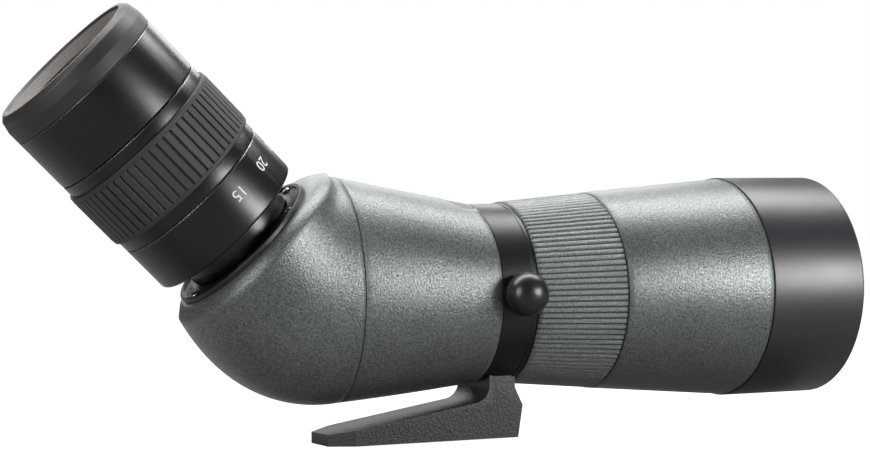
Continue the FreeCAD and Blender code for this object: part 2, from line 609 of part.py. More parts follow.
SEAT_FLOOR = "(-flange_height-flange_seat)"
SCREW_TIP = "(-flange_dish-flange_screw_length)"
housing_tools = [spigot_hole, eyepiece_rod("flange_seat_cut", "flange_radius-seat_inset", SEAT_FLOOR, "10"),
                 eyepiece_rod("flange_bore_cut", "flange_spigot", "-10", "20")]
housing_tools += [eyepiece_rod(f"flange_tap_{index}", "flange_screw_radius", SCREW_TIP, "10",
                               flange_angle(index))
                  for index in range(6)]
HOLDER_SPOTS = [(f"{y}*holder_pitch*sin(45 deg)", f"axis_height+{z}*holder_pitch*sin(45 deg)")
                for y, z in ((1, 1), (1, -1), (-1, 1), (-1, -1))]


def holder_rod(name, radius, start, length, spot):
    solid = rod(name, radius, start, length)
    place(solid, x=start, y=spot[0], z=spot[1], tilt="90")
    return solid


housing_tools += [holder_rod(f"holder_tap_{index}", "small_screw", f"{HOLDER_REAR}-5",
                             "holder_thickness+lug_length+6", spot)
                  for index, spot in enumerate(HOLDER_SPOTS)]

# The nameplate sits in a shallow oblong recess across the crown.
badge_floor = shell_form("badge_floor", "badge_depth")
badge_face = shell_form("badge_face", "badge_sink")


def oblong(name, shrink):
    """An upright oblong prism across the crown of the housing."""
    half = f"(badge_length/2-({shrink}))"
    reach = "((badge_width-badge_length)/2)"
    bar = slab(name + "_bar", (f"badge_station-{half}", f"-{reach}", "axis_height"),
               (f"2*{half}", f"2*{reach}", "60"))
    ends = [rod(f"{name}_end_{side}", half, "axis_height", "60",
                side=("badge_station", f"{side}*{reach}")) for side in (1, -1)]
    return joined(name, [bar, *ends])


badge_blank = boolean("Cut", "badge_blank", boolean("Common", "badge_column", badge_face,
                                                    oblong("badge_outline", "0.35")), badge_floor)
keep(badge_blank, "badge_plate")
recess = boolean("Cut", "badge_recess", oblong("recess_outline", "0"), badge_floor)
shell = boolean("Cut", "housing_shell", boolean("Cut", "housing_wall_form", outer_form, cavity),
                joined("housing_tools", housing_tools + [recess]))
REACH = "(4*housing_mouth_radius)"
CUBE = (f"2*{REACH}", f"2*{REACH}", f"2*{REACH}")
LOW = f"axis_height-{REACH}"
front_half = slab("front_half", (f"{PARTING}+cover_gap/2", f"-{REACH}", LOW), CUBE)
rear_half = slab("rear_half", (f"{PARTING}-cover_gap/2-2*{REACH}", f"-{REACH}", LOW), CUBE)
keep(boolean("Common", "housing_front", shell, front_half), "prism_housing")
keep(boolean("Common", "housing_rear", shell, rear_half), "prism_cover")
seal_slice = slab("seal_slice", (f"{PARTING}-cover_gap/2", f"-{REACH}", LOW), ("cover_gap", *CUBE[1:]))
seal_outside = shell_form("seal_outside", "seal_inset")
keep(boolean("Common", "cover_seal_form", boolean("Cut", "seal_ring", seal_outside, hollow_form),
             seal_slice), "cover_seal")

# --- Prism on its holder ------------------------------------------------------------------------
holder = doc.addObject("PartDesign::Body", "holder_body")
lathe(holder, "holder_plate", [(HOLDER_REAR, "light_bore"), (LUG_REAR, "light_bore"),
                               (LUG_REAR, "holder_radius"),
                               (HOLDER_REAR, "holder_radius")])
APEX_Z = f"({HINGE_Z}-prism_drop)"
CHEEK = [(HOLDER_REAR, f"{APEX_Z}-axis_height-prism_top"), (HOLDER_REAR, f"{APEX_Z}-axis_height-prism_leg"),
         (f"{HOLDER_REAR}-prism_leg*sin(45 deg)", f"{APEX_Z}-axis_height-prism_leg*cos(45 deg)"),
         (f"{HOLDER_REAR}-prism_top*sin(45 deg)", f"{APEX_Z}-axis_height-prism_top*cos(45 deg)")]
pad(holder, "holder_cheeks", "XZ_Plane", "0", CHEEK, "prism_width+2*cheek_thickness", midplane=True)
between = pocket(holder, "prism_space", "XZ_Plane", "0", lambda sketch: outline(sketch, CHEEK), "prism_width")
between.Midplane = True
pocket(holder, "holder_holes", "YZ_Plane", f"{HOLDER_REAR}-1",
       lambda sketch: discs(sketch, [(y, f"{z}-axis_height", "small_screw") for y, z in HOLDER_SPOTS]),
       "holder_thickness+2", upward=True)
on_tube(holder)
keep(holder, "prism_holder")

HALF_TILT = "(eyepiece_tilt/2 * 1 deg)"
ROOF_LEG = f"(prism_leg+prism_width/2/cos{HALF_TILT})"
prism = doc.addObject("PartDesign::Body", "prism_body")
pad(prism, "prism_block", "XZ_Plane", "0", [
    (f"prism_top*sin{HALF_TILT}",
     f"-prism_top*cos{HALF_TILT}"), (f"{ROOF_LEG}*sin{HALF_TILT}", f"-{ROOF_LEG}*cos{HALF_TILT}"),
    (f"-{ROOF_LEG}*sin{HALF_TILT}",
     f"-{ROOF_LEG}*cos{HALF_TILT}"), (f"-prism_top*sin{HALF_TILT}", f"-prism_top*cos{HALF_TILT}")],
    "prism_width", midplane=True)
for side, sign in (("left", ""), ("right", "-")):
    roof = pocket(prism, f"roof_{side}", "YZ_Plane", "0", lambda sketch, sign=sign: outline(sketch, [
        (f"{sign}prism_width/2",
         f"-prism_leg*cos{HALF_TILT}"), (f"{sign}0.01", f"-{ROOF_LEG}*cos{HALF_TILT}"),
        (f"{sign}prism_width/2", f"-{ROOF_LEG}*cos{HALF_TILT}-1")]), "4*prism_leg")
    roof.Midplane = True
place(prism, x=HOLDER_REAR, z=APEX_Z, tilt="eyepiece_tilt/2")
keep(prism, "roof_prism")
clamp = slab("prism_clamp_plate", ("0", "0", "0"),
             (f"2*prism_top*sin{HALF_TILT}-clamp_thickness*tan{HALF_TILT}",
              "prism_width+2*cheek_thickness", "clamp_thickness"))
place(clamp, x=f"{HOLDER_REAR}-prism_top*sin(45 deg)", y="-prism_width/2-cheek_thickness",
      z=f"{APEX_Z}-prism_top*cos(45 deg)",
      tilt="eyepiece_tilt/2")
keep(clamp, "prism_clamp")
holder_screws = []
for index, spot in enumerate(HOLDER_SPOTS):
    shank = holder_rod(f"holder_shank_{index}", "small_screw", f"{HOLDER_REAR}-0.5",
                       "holder_thickness+lug_length+0.5", spot)
    head = holder_rod(f"holder_head_{index}", "small_head", f"{HOLDER_REAR}-small_head_height",
                      "small_head_height", spot)
    holder_screws.append(joined(f"holder_screw_{index}", [shank, head]))
keep(joined("holder_screw_group", holder_screws), "prism_screws")

# --- Eyepiece flange: a dished ring with a notched bore, held by six small screws ------------------
flange = doc.addObject("PartDesign::Body", "flange_body")
SEAT_RADIUS = "(flange_radius-seat_inset)"
lathe(flange, "flange_ring", [
    (f"{SEAT_FLOOR}-flange_spigot_length", "flange_bore"), (f"{SEAT_FLOOR}-flange_spigot_length",
                                                            "flange_spigot"),
    (SEAT_FLOOR, "flange_spigot"), (SEAT_FLOOR,
                                    SEAT_RADIUS), ("-flange_height", SEAT_RADIUS),
                                    ("-flange_height", "flange_radius"),
    ("-0.2", "flange_radius"), ("0", "flange_radius-0.2"), ("0", "flange_radius-flange_rim"),
    ("-flange_dish", "flange_radius-flange_rim"), ("-flange_dish", "flange_bore")])
notch = lathe(flange, "flange_notch", [
    (f"{SEAT_FLOOR}-flange_spigot_length-1",
     "flange_bore-1"), ("1", "flange_bore-1"), ("1", "flange_bore+lug_reach+0.3"),
    (f"{SEAT_FLOOR}-flange_spigot_length-1",
     "flange_bore+lug_reach+0.3")], kind="Groove", angle="notch_width",
              azimuth="bayonet_turn")
around(flange, notch, "flange_notches", 3)
pocket(flange, "flange_screw_holes", "YZ_Plane", "-8", lambda sketch: discs(sketch, [
    (f"flange_screw_pitch*sin({flange_angle(index)})", f"-flange_screw_pitch*cos({flange_angle(index)})",
     "flange_screw_radius")
    for index in range(6)]), "10", upward=True)
on_eyepiece(flange)
keep(flange, "eyepiece_flange")
flange_screws = []
for index in range(6):
    shank = eyepiece_rod(f"flange_shank_{index}", "flange_screw_radius", SCREW_TIP,
                         "flange_screw_length+0.3", flange_angle(index))
    head = eyepiece_rod(f"flange_head_{index}", "flange_screw_head", "-flange_dish",
                        "flange_screw_head_height", flange_angle(index))
    flange_screws.append(joined(f"flange_screw_{index}", [shank, head]))
keep(joined("flange_screw_group", flange_screws), "flange_screws")

# --- Focusing group: a ring with a cam groove drives a sliding lens cell by one pin ----------------
focus_ring = doc.addObject("PartDesign::Body", "focus_ring_body")
RING_START = f"({COLLAR_FRONT}+seam_gap/2)"
RING_END = f"({FOCUS_FRONT}-seam_gap/2)"
lathe(focus_ring, "focus_ring_turn", [
    (RING_START, COLLAR_BORE), (RING_END, COLLAR_BORE), (RING_END,
                                                         "focus_front_radius-0.3"),
                                                         (f"{RING_END}-0.3", "focus_front_radius"),
    (f"{RING_START}+0.3", "focus_rear_radius"), (RING_START, "focus_rear_radius-0.3")])
HALF_TURN = "(focus_turn/2+cam_overrun)"
cam_groove(focus_ring, "focus_cam", FOCUS_MIDDLE, COLLAR_BORE, "groove_half", "groove_depth",
           "focus_travel", "focus_turn",
           HALF_TURN, HALF_TURN)
on_tube(focus_ring)
keep(focus_ring, "focus_ring")

CELL_RADIUS = f"({TUBE_BORE}-run_gap)"
CELL_BORE = f"({CELL_RADIUS}-focus_cell_wall)"
FOCUS_LENS_RADIUS = f"({CELL_BORE}+lens_seat)"
FOCUS_SEAT = f"({FOCUS_MIDDLE}+focus_cell_length/2-ring_length-focus_lens_edge)"
CELL_START = f"({FOCUS_MIDDLE}-focus_cell_length/2)"
CELL_END = f"({FOCUS_MIDDLE}+focus_cell_length/2)"
focus_cell = doc.addObject("PartDesign::Body", "focus_cell_body")
lathe(focus_cell, "focus_cell_turn", [
    (CELL_START, CELL_BORE), (FOCUS_SEAT, CELL_BORE), (FOCUS_SEAT,
                                                       FOCUS_LENS_RADIUS), (CELL_END, FOCUS_LENS_RADIUS),
    (CELL_END, CELL_RADIUS), (CELL_START, CELL_RADIUS)])
PIN_RADIUS = "(groove_half-pin_gap)"
pocket(focus_cell, "pin_hole", "XY_Plane", f"{CELL_BORE}+1",
       lambda sketch: discs(sketch, [(FOCUS_MIDDLE, "0", PIN_RADIUS)]), "focus_cell_wall+2", upward=True)
on_tube(focus_cell)
keep(focus_cell, "focus_cell")
PIN_TOP = f"({COLLAR_BORE}+groove_depth-cam_floor_gap)"
pin = rod("focus_pin_rod", PIN_RADIUS, f"axis_height+{CELL_BORE}+1", f"{PIN_TOP}-{CELL_BORE}-1",
          side=(FOCUS_MIDDLE, "0"))
keep(pin, "focus_pin")
GLASS_RADIUS = f"({FOCUS_LENS_RADIUS}-lens_gap)"
lens("focus_lens", GLASS_RADIUS, FOCUS_SEAT, "focus_lens_edge", ("hollow", "focus_lens_hollow"),
     ("bulge", "focus_lens_bulge"), on_tube)
FOCUS_RING_START = f"({FOCUS_SEAT}+focus_lens_edge+{relief(GLASS_RADIUS, 'focus_lens_bulge', CELL_BORE)})"
turned("focus_lens_ring", [(FOCUS_RING_START, CELL_BORE), (CELL_END, CELL_BORE),
                           (CELL_END, FOCUS_LENS_RADIUS),
                           (FOCUS_RING_START, FOCUS_LENS_RADIUS)], on_tube)

# --- Front barrel with the objective in its cell, and the sliding sunshade -------------------------
BARREL_START = f"({FOCUS_FRONT}+seam_gap/2)"
GUIDE_END = f"({BARREL_FRONT}+guide_length)"
CELL_FLANGE = f"({BARREL_FRONT}-cell_station)"
CELL_NOSE = f"({CELL_FLANGE}+cell_length)"
GUIDE_BORE = "(guide_radius-guide_wall)"
turned("front_barrel", [
    (BARREL_START, "tube_radius"), (f"{FOCUS_FRONT}+tube_grip", "tube_radius"),
    (f"{FOCUS_FRONT}+tube_grip",
     "barrel_rear_radius-barrel_wall"), (f"{CELL_FLANGE}-2", GUIDE_BORE),
     (f"{GUIDE_END}-filter_length", GUIDE_BORE),
    (f"{GUIDE_END}-filter_length", "filter_radius"), (GUIDE_END,
                                                      "filter_radius"), (GUIDE_END, "guide_radius"),
    (BARREL_FRONT, "guide_radius"), (BARREL_FRONT,
                                     "barrel_front_radius-0.3"),
                                     (f"{BARREL_FRONT}-0.3", "barrel_front_radius"),
    (f"{BARREL_START}+0.3", "barrel_rear_radius"), (BARREL_START, "barrel_rear_radius-0.3")], on_tube)
REAR_SEAT = f"({CELL_FLANGE}+cell_lip_length)"
SPACER = f"({REAR_SEAT}+rear_lens_edge)"
OBJECTIVE_LIP = "(objective_radius-cell_lip)"
ELEMENT_RADIUS = "(objective_radius-lens_gap)"
SPACER_END = f"({SPACER}+spacer_length)"
FRONT_SEAT = f"({SPACER_END}+{relief(ELEMENT_RADIUS, 'front_lens_rear_sag', OBJECTIVE_LIP)})"
FRONT_RING = f"({FRONT_SEAT}+front_lens_edge+{relief(ELEMENT_RADIUS, 'front_lens_front_sag', OBJECTIVE_LIP)})"
turned("objective_cell", [
    (CELL_FLANGE, OBJECTIVE_LIP), (REAR_SEAT, OBJECTIVE_LIP), (REAR_SEAT, "objective_radius"),
    (CELL_NOSE, "objective_radius"), (CELL_NOSE, GUIDE_BORE), (CELL_FLANGE, GUIDE_BORE)], on_tube)
lens("objective_rear_lens", ELEMENT_RADIUS, REAR_SEAT, "rear_lens_edge", ("hollow", "rear_lens_rear_sag"),
     ("hollow", "rear_lens_front_sag"), on_tube)
turned("objective_spacer", [(SPACER, OBJECTIVE_LIP), (SPACER_END, OBJECTIVE_LIP),
                            (SPACER_END, "objective_radius"),
                            (SPACER, "objective_radius")], on_tube)
lens("objective_front_lens", ELEMENT_RADIUS, FRONT_SEAT, "front_lens_edge", ("bulge", "front_lens_rear_sag"),
     ("bulge", "front_lens_front_sag"), on_tube)
turned("objective_ring", [(FRONT_RING, OBJECTIVE_LIP), (f"{FRONT_RING}+ring_length", f"{OBJECTIVE_LIP}+0.6"),
                          (f"{FRONT_RING}+ring_length",
                           "objective_radius"), (FRONT_RING, "objective_radius")], on_tube)
turned("objective_seal", [(f"{CELL_NOSE}", f"{GUIDE_BORE}-2*seal_radius"),
                          (f"{CELL_NOSE}+2*seal_radius", f"{GUIDE_BORE}-seal_radius"),
                          (f"{CELL_NOSE}+2*seal_radius", GUIDE_BORE), (CELL_NOSE, GUIDE_BORE)], on_tube)
SHADE_START = f"({BARREL_FRONT}+seam_gap/2)"
SHADE_BORE = "(guide_radius+sunshade_gap)"
FELT_START = f"({SHADE_START}+2)"
turned("sunshade", [
    (SHADE_START, SHADE_BORE), (FELT_START, SHADE_BORE), (FELT_START,
                                                          f"{SHADE_BORE}+felt_depth"),
                                                          (f"{FELT_START}+felt_length",
                                                           f"{SHADE_BORE}+felt_depth"),
    (f"{FELT_START}+felt_length", SHADE_BORE), (f"{SUNSHADE_FRONT}-sunshade_lip",
                                                SHADE_BORE),
                                                (f"{SUNSHADE_FRONT}-sunshade_lip", f"{SHADE_BORE}-0.6"),
    (f"{SUNSHADE_FRONT}-0.4", f"{SHADE_BORE}-0.6"), (SUNSHADE_FRONT,
                                                     f"{SHADE_BORE}-0.2"),
                                                     (SUNSHADE_FRONT, "sunshade_radius-0.6"),
    (f"{SUNSHADE_FRONT}-0.6", "sunshade_radius"), (f"{SHADE_START}+0.3",
                                                   "sunshade_radius"),
                                                   (SHADE_START, "sunshade_radius-0.3")], on_tube)
turned("sunshade_felt", [(FELT_START, "guide_radius+run_gap"),
                         (f"{FELT_START}+felt_length", "guide_radius+run_gap"),
                         (f"{FELT_START}+felt_length",
                          f"{SHADE_BORE}+felt_depth"), (FELT_START, f"{SHADE_BORE}+felt_depth")], on_tube)

# --- Bayonet and the fixed barrels of the eyepiece ---------------------------------------------------
NECK_START = "(run_gap*3-flange_dish)"
BAYONET_RADIUS = "(flange_bore-run_gap)"
LUG_TOP = f"({SEAT_FLOOR}-flange_spigot_length-run_gap*2)"
BAYONET_END = f"({LUG_TOP}-bayonet_lug)"
bayonet = doc.addObject("PartDesign::Body", "bayonet_body")
lathe(bayonet, "bayonet_turn", [
    (BAYONET_END, "eyepiece_bore"), ("neck_top",
                                     "eyepiece_bore"), ("neck_top", "neck_radius"),
                                     (f"{NECK_START}+neck_round", "neck_radius"),
    (f"{NECK_START}+neck_round*0.3", "neck_radius-neck_round*0.3"), (NECK_START, "neck_radius-neck_round"),
    (NECK_START, BAYONET_RADIUS), (BAYONET_END, BAYONET_RADIUS)])
lug = lathe(bayonet, "bayonet_lug_turn", [(BAYONET_END, f"{BAYONET_RADIUS}-1"),
                                          (LUG_TOP, f"{BAYONET_RADIUS}-1"),
                                          (LUG_TOP,
                                           "flange_bore+lug_reach"),
                                           (BAYONET_END, "flange_bore+lug_reach")], angle="lug_width")
around(bayonet, lug, "bayonet_lugs", 3)
on_eyepiece(bayonet)
keep(bayonet, "eyepiece_bayonet")
GUIDE_START = "(neck_top+base_thickness)"
turned("eyepiece_base", [
    ("neck_top", "eyepiece_bore"), (GUIDE_START,
                                    "eyepiece_bore"), (GUIDE_START, "barrel_radius-base_wall"),
                                    ("base_top", "barrel_radius-base_wall"),
    ("base_top", "barrel_radius-0.3"), ("base_top-0.3",
                                        "barrel_radius"), ("neck_top+0.5", "barrel_radius"),
                                        ("neck_top", "barrel_radius-0.5")],
    on_eyepiece)
guide = doc.addObject("PartDesign::Body", "guide_body")
lathe(guide, "guide_turn", [(GUIDE_START, "guide_bore"), ("guide_tube_top", "guide_bore"),
                            ("guide_tube_top", GUIDE_TUBE_RADIUS),
                            (GUIDE_START, GUIDE_TUBE_RADIUS)])
pocket(guide, "front_pin_slot", "XY_Plane", "guide_bore-2",
       lambda sketch: slot(sketch, "front_pin-cam_half", "front_pin+front_travel+cam_half",
                           "cam_half"), "guide_tube_wall+4", upward=True)
pocket(guide, "rear_pin_slot", "XY_Plane", "2-guide_bore",
       lambda sketch: slot(sketch, "rear_pin-rear_travel-cam_half", "rear_pin+cam_half",
                           "cam_half"), "guide_tube_wall+4")
on_eyepiece(guide)
keep(guide, "guide_tube")

# --- Zoom ring, its rubber grip and the two lens carriages it drives ---------------------------------
ZOOM_BORE = f"({GUIDE_TUBE_RADIUS}+run_gap)"
zoom = doc.addObject("PartDesign::Body", "zoom_body")
lathe(zoom, "zoom_turn", [
    ("zoom_bottom", ZOOM_BORE), ("zoom_top", ZOOM_BORE), ("zoom_top",
                                                          "barrel_radius-0.3"),
                                                          ("zoom_top-0.3", "barrel_radius"),
    ("grip_top", "barrel_radius"), ("grip_top",
                                    "grip_seat"), ("grip_bottom", "grip_seat"),
                                    ("grip_bottom", "barrel_radius"),
    ("zoom_bottom+0.3", "barrel_radius"), ("zoom_bottom", "barrel_radius-0.3")])
cam_groove(zoom, "front_cam", "front_pin", ZOOM_BORE, "cam_half", "cam_depth", "front_travel", "zoom_turn",
           "cam_overrun", "zoom_turn+cam_overrun", left=True)
cam_groove(zoom, "rear_cam", "rear_pin", ZOOM_BORE, "cam_half", "cam_depth", "rear_travel", "zoom_turn",
           "cam_overrun", "zoom_turn+cam_overrun", side=-1, back=True)
on_eyepiece(zoom)
keep(zoom, "zoom_ring")
turned("zoom_grip", [("grip_bottom", "grip_seat"), ("grip_top", "grip_seat"),
                     ("grip_top", "grip_radius-0.4"), ("grip_top-0.4", "grip_radius"),
                     ("grip_bottom+0.4", "grip_radius"), ("grip_bottom", "grip_radius-0.4")], on_eyepiece)
CARRIAGE_RADIUS = "(guide_bore-run_gap)"
CAM_PIN = "(cam_half-pin_gap)"
ZOOM_GLASS = "(zoom_lens_radius-lens_gap)"
ZOOM_LIP = "(zoom_lens_radius-lens_seat)"
STUD_START = "(zoom_lens_radius+pin_gap)"
for name, stud, plane, outer_end, inner_end, face, glass in (
        ("front", "front_pin", "", "front_cell_bottom", "front_cell_top", ("hollow", "zoom_hollow"),
         "(front_cell_bottom+1)"),
        ("rear", "rear_pin", "-", "rear_cell_top", "rear_cell_bottom", ("bulge", "zoom_bulge"),
         "(rear_cell_top-2-zoom_lens_edge)")):
    upright = name == "front"
    carriage = doc.addObject("PartDesign::Body", f"{name}_carriage_body")
    bulge = relief(ZOOM_GLASS, "zoom_bulge", ZOOM_LIP)
    seat_end = f"({glass}+zoom_lens_edge)" if upright else f"({glass}-{bulge})"
    lathe(carriage, f"{name}_carriage_turn", [
        (outer_end, "zoom_lens_radius"), (seat_end,
                                          "zoom_lens_radius"), (seat_end, ZOOM_LIP), (inner_end, ZOOM_LIP),
        (inner_end, CARRIAGE_RADIUS), (outer_end, CARRIAGE_RADIUS)])
    pocket(carriage, f"{name}_stud_hole", "XY_Plane", f"{plane}{STUD_START}",
           lambda sketch, stud=stud: discs(sketch, [(stud, "0", CAM_PIN)]), "10", upward=upright)
    on_eyepiece(carriage)
    keep(carriage, f"zoom_carriage_{name}")
    lens(f"zoom_lens_{name}", ZOOM_GLASS, glass, "zoom_lens_edge", face, face, on_eyepiece)
    follower = doc.addObject("PartDesign::Body", f"{name}_pin_body")
    stud_sketch = new_sketch(follower, f"{name}_pin_outline", "XY_Plane", f"{plane}{STUD_START}")
    discs(stud_sketch, [(stud, "0", CAM_PIN)])
    stud_pad = follower.newObject("PartDesign::Pad", f"{name}_pin_pad")
    stud_pad.Profile = stud_sketch
    stud_pad.Reversed = not upright
    bind(stud_pad, Length=f"({ZOOM_BORE}+cam_depth-cam_floor_gap-{STUD_START}) * 1 mm")
    on_eyepiece(follower)
    keep(follower, f"zoom_pin_{name}")

# --- Eye lens in its cell, and the twist-up eyecup ----------------------------------------------------
EYE_SEAT = "(eye_cell_top-ring_length-eye_lens_edge-1)"
EYE_GLASS = "(eye_lens_radius-lens_gap)"
EYE_GLASS_START = f"({EYE_SEAT}+{relief(EYE_GLASS, 'eye_lens_rear_sag', 'eye_cell_bore')})"
EYE_RING_BORE = "(eye_cell_bore+0.5)"
EYE_BULGE = relief(EYE_GLASS, "eye_lens_front_sag", EYE_RING_BORE)
EYE_RING_START = f"({EYE_GLASS_START}+eye_lens_edge+{EYE_BULGE})"
turned("eye_lens_cell", [
    ("eye_cell_bottom", "eye_cell_bore"), (EYE_SEAT,
                                           "eye_cell_bore"), (EYE_SEAT, "eye_lens_radius"),
                                           ("eye_cell_top", "eye_lens_radius"),
    ("eye_cell_top", "guide_bore"), ("eye_cell_bottom", "guide_bore")], on_eyepiece)
lens("eye_lens", EYE_GLASS, EYE_GLASS_START, "eye_lens_edge", ("bulge", "eye_lens_rear_sag"),
     ("bulge", "eye_lens_front_sag"), on_eyepiece)
turned("eye_lens_ring", [(EYE_RING_START, EYE_RING_BORE), ("eye_cell_top", "eye_cell_bore+1.2"),
                         ("eye_cell_top", "eye_lens_radius"),
                         (EYE_RING_START, "eye_lens_radius")], on_eyepiece)
SLIP_START = "(sleeve_bottom+sleeve_lip+seam_gap)"
SLIP_BORE = f"({GUIDE_TUBE_RADIUS}+slip_gap)"
SLIP_RADIUS = f"({SLIP_BORE}+slip_wall)"
SLEEVE_BORE = "(barrel_radius-sleeve_wall)"
turned("eyecup_slip_ring", [(SLIP_START, SLIP_BORE), (f"{SLIP_START}+slip_length", SLIP_BORE),
                            (f"{SLIP_START}+slip_length", SLIP_RADIUS),
                            (SLIP_START, SLIP_RADIUS)], on_eyepiece)
SLIP_POCKET_END = f"({SLIP_START}+slip_length+seam_gap)"
turned("eyecup_sleeve", [
    ("sleeve_bottom", SLEEVE_BORE), ("sleeve_bottom+sleeve_lip",
                                     SLEEVE_BORE), ("sleeve_bottom+sleeve_lip", f"{SLIP_RADIUS}+slip_gap"),
    (SLIP_POCKET_END, f"{SLIP_RADIUS}+slip_gap"), (SLIP_POCKET_END,
                                                   SLEEVE_BORE), ("sleeve_top-cap_thickness", SLEEVE_BORE),
    ("sleeve_top-cap_thickness", "cap_bore"), ("sleeve_top",
                                               "cap_bore"), ("sleeve_top", "barrel_radius-0.3"),
                                               ("sleeve_top-0.3", "barrel_radius"),
    ("sleeve_bottom+0.3", "barrel_radius"), ("sleeve_bottom", "barrel_radius-0.3")], on_eyepiece)
turned("eyecup_rubber", [
    ("sleeve_top", "cup_floor_radius"), ("cup_top-0.8",
                                         "cup_mouth_radius"), ("cup_top", "cup_mouth_radius+0.7"),
                                         ("cup_top", "cup_rim_radius"),
    ("cup_bend+0.9", "cup_bend_radius-0.6"), ("cup_bend",
                                              "cup_bend_radius"), ("cup_shoulder", "barrel_radius"),
                                              ("sleeve_top+0.3", "barrel_radius"),
    ("sleeve_top", "barrel_radius-0.3")], on_eyepiece)

# --- Check every object, then write one STEP file for each node -----------------------------------------
doc.recompute()
failed = [item.Name for item in doc.Objects if "Invalid" in item.State or "Error" in item.State]
if failed:
    raise RuntimeError("failed objects: " + ", ".join(failed))
for label, item in nodes.items():
    if item.Shape.isNull() or not item.Shape.isValid() or not item.Shape.Solids:
        raise RuntimeError("bad shape: " + label)
os.makedirs("parts", exist_ok=True)
for label, item in nodes.items():
    item.Shape.exportStep(f"parts/{label}.step")
    print(f"{label:24s} solids {len(item.Shape.Solids)}  volume {item.Shape.Volume:12.1f}")
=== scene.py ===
import bmesh
import bpy
import json
import math
from mathutils import Matrix, Vector


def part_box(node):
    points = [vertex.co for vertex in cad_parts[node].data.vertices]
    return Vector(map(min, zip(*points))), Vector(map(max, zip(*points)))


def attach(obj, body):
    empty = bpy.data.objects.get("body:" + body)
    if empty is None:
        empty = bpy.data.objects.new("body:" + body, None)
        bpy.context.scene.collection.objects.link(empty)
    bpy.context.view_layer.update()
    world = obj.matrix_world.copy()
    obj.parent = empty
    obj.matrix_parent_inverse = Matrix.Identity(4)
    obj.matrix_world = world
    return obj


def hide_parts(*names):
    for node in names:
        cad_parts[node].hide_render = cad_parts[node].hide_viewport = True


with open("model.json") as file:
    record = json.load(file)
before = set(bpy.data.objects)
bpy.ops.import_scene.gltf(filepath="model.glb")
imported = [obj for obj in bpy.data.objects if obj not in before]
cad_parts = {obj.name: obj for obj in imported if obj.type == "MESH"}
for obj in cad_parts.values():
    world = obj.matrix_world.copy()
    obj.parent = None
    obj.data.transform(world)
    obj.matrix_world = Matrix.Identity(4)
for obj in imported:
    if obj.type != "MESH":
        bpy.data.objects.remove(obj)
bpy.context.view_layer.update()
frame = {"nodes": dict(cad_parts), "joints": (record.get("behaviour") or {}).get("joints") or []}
nodes = frame["nodes"]
scene = bpy.context.scene
MM = 0.001

# --- Studio: a pale floor under the foot, a white surround, soft boxes above and in front --------
# The scope stands on its tripod foot. A long lens looks at it from the eyepiece's side, almost level.
scene.view_settings.view_transform = "Standard"
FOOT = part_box("tripod_foot")
FLOOR_Z = FOOT[0][2] - 0.0002
FILL = 0.10
SEEN = {"Is Camera Ray": 0.98, "Is Glossy Ray": 0.05, "Is Transmission Ray": 0.9}


def seen_strength(tree):
    """A strength that only what sees the surround directly gets, so it throws no light of its own."""
    path = tree.nodes.new("ShaderNodeLightPath")
    total = None
    for name, amount in SEEN.items():
        share = tree.nodes.new("ShaderNodeMath")
        share.operation = "MULTIPLY_ADD"
        share.inputs[1].default_value = amount
        share.inputs[2].default_value = 0.0
        tree.links.new(path.outputs[name], share.inputs[0])
        if total:
            tree.links.new(total, share.inputs[2])
        total = share.outputs[0]
    return total


def white_surround():
    world = bpy.data.worlds.new("white_surround")
    world.use_nodes = True
    tree = world.node_tree
    glow = tree.nodes["Background"]
    glow.inputs["Color"].default_value = (1, 1, 1, 1)
    lift = tree.nodes.new("ShaderNodeMath")
    lift.operation = "MULTIPLY_ADD"
    lift.inputs[1].default_value = 1.0 - FILL
    lift.inputs[2].default_value = FILL
    path = tree.nodes.new("ShaderNodeLightPath")
    tree.links.new(path.outputs["Is Camera Ray"], lift.inputs[0])
    tree.links.new(lift.outputs[0], glow.inputs["Strength"])
    scene.world = world


def pale_floor():
    mesh = bpy.data.meshes.new("pale_floor")
    reach = 6.0
    mesh.from_pydata([(-reach, -reach, FLOOR_Z), (reach, -reach, FLOOR_Z), (reach, reach, FLOOR_Z),
                      (-reach, reach, FLOOR_Z)], [], [(0, 1, 2, 3)])
    floor = bpy.data.objects.new("pale_floor", mesh)
    scene.collection.objects.link(floor)
    paper = bpy.data.materials.new("pale_paper")
    paper.use_nodes = True
    tree = paper.node_tree
    surface = tree.nodes["Principled BSDF"]
    surface.inputs["Base Color"].default_value = (0.2, 0.2, 0.2, 1)
    surface.inputs["Roughness"].default_value = 0.9
    surface.inputs["Specular IOR Level"].default_value = 0.1
    surface.inputs["Emission Color"].default_value = (1, 1, 1, 1)
    tree.links.new(seen_strength(tree), surface.inputs["Emission Strength"])
    mesh.materials.append(paper)


def soft_box(name, place, target, size, power):
    light = bpy.data.lights.new(name, "AREA")
    light.shape = "RECTANGLE"
    light.size, light.size_y = size
    light.energy = power
    lamp = bpy.data.objects.new(name, light)
    lamp.location = place
    lamp.rotation_euler = (Vector(target) - Vector(place)).to_track_quat("-Z", "Y").to_euler()
    lamp.visible_camera = False
    scene.collection.objects.link(lamp)


LENS_LENGTH = 85.31
LENS_ANGLES = (-24.0812, -0.5166, -0.9586)
LENS_PLACE = (-287.488, -656.026, 67.483)


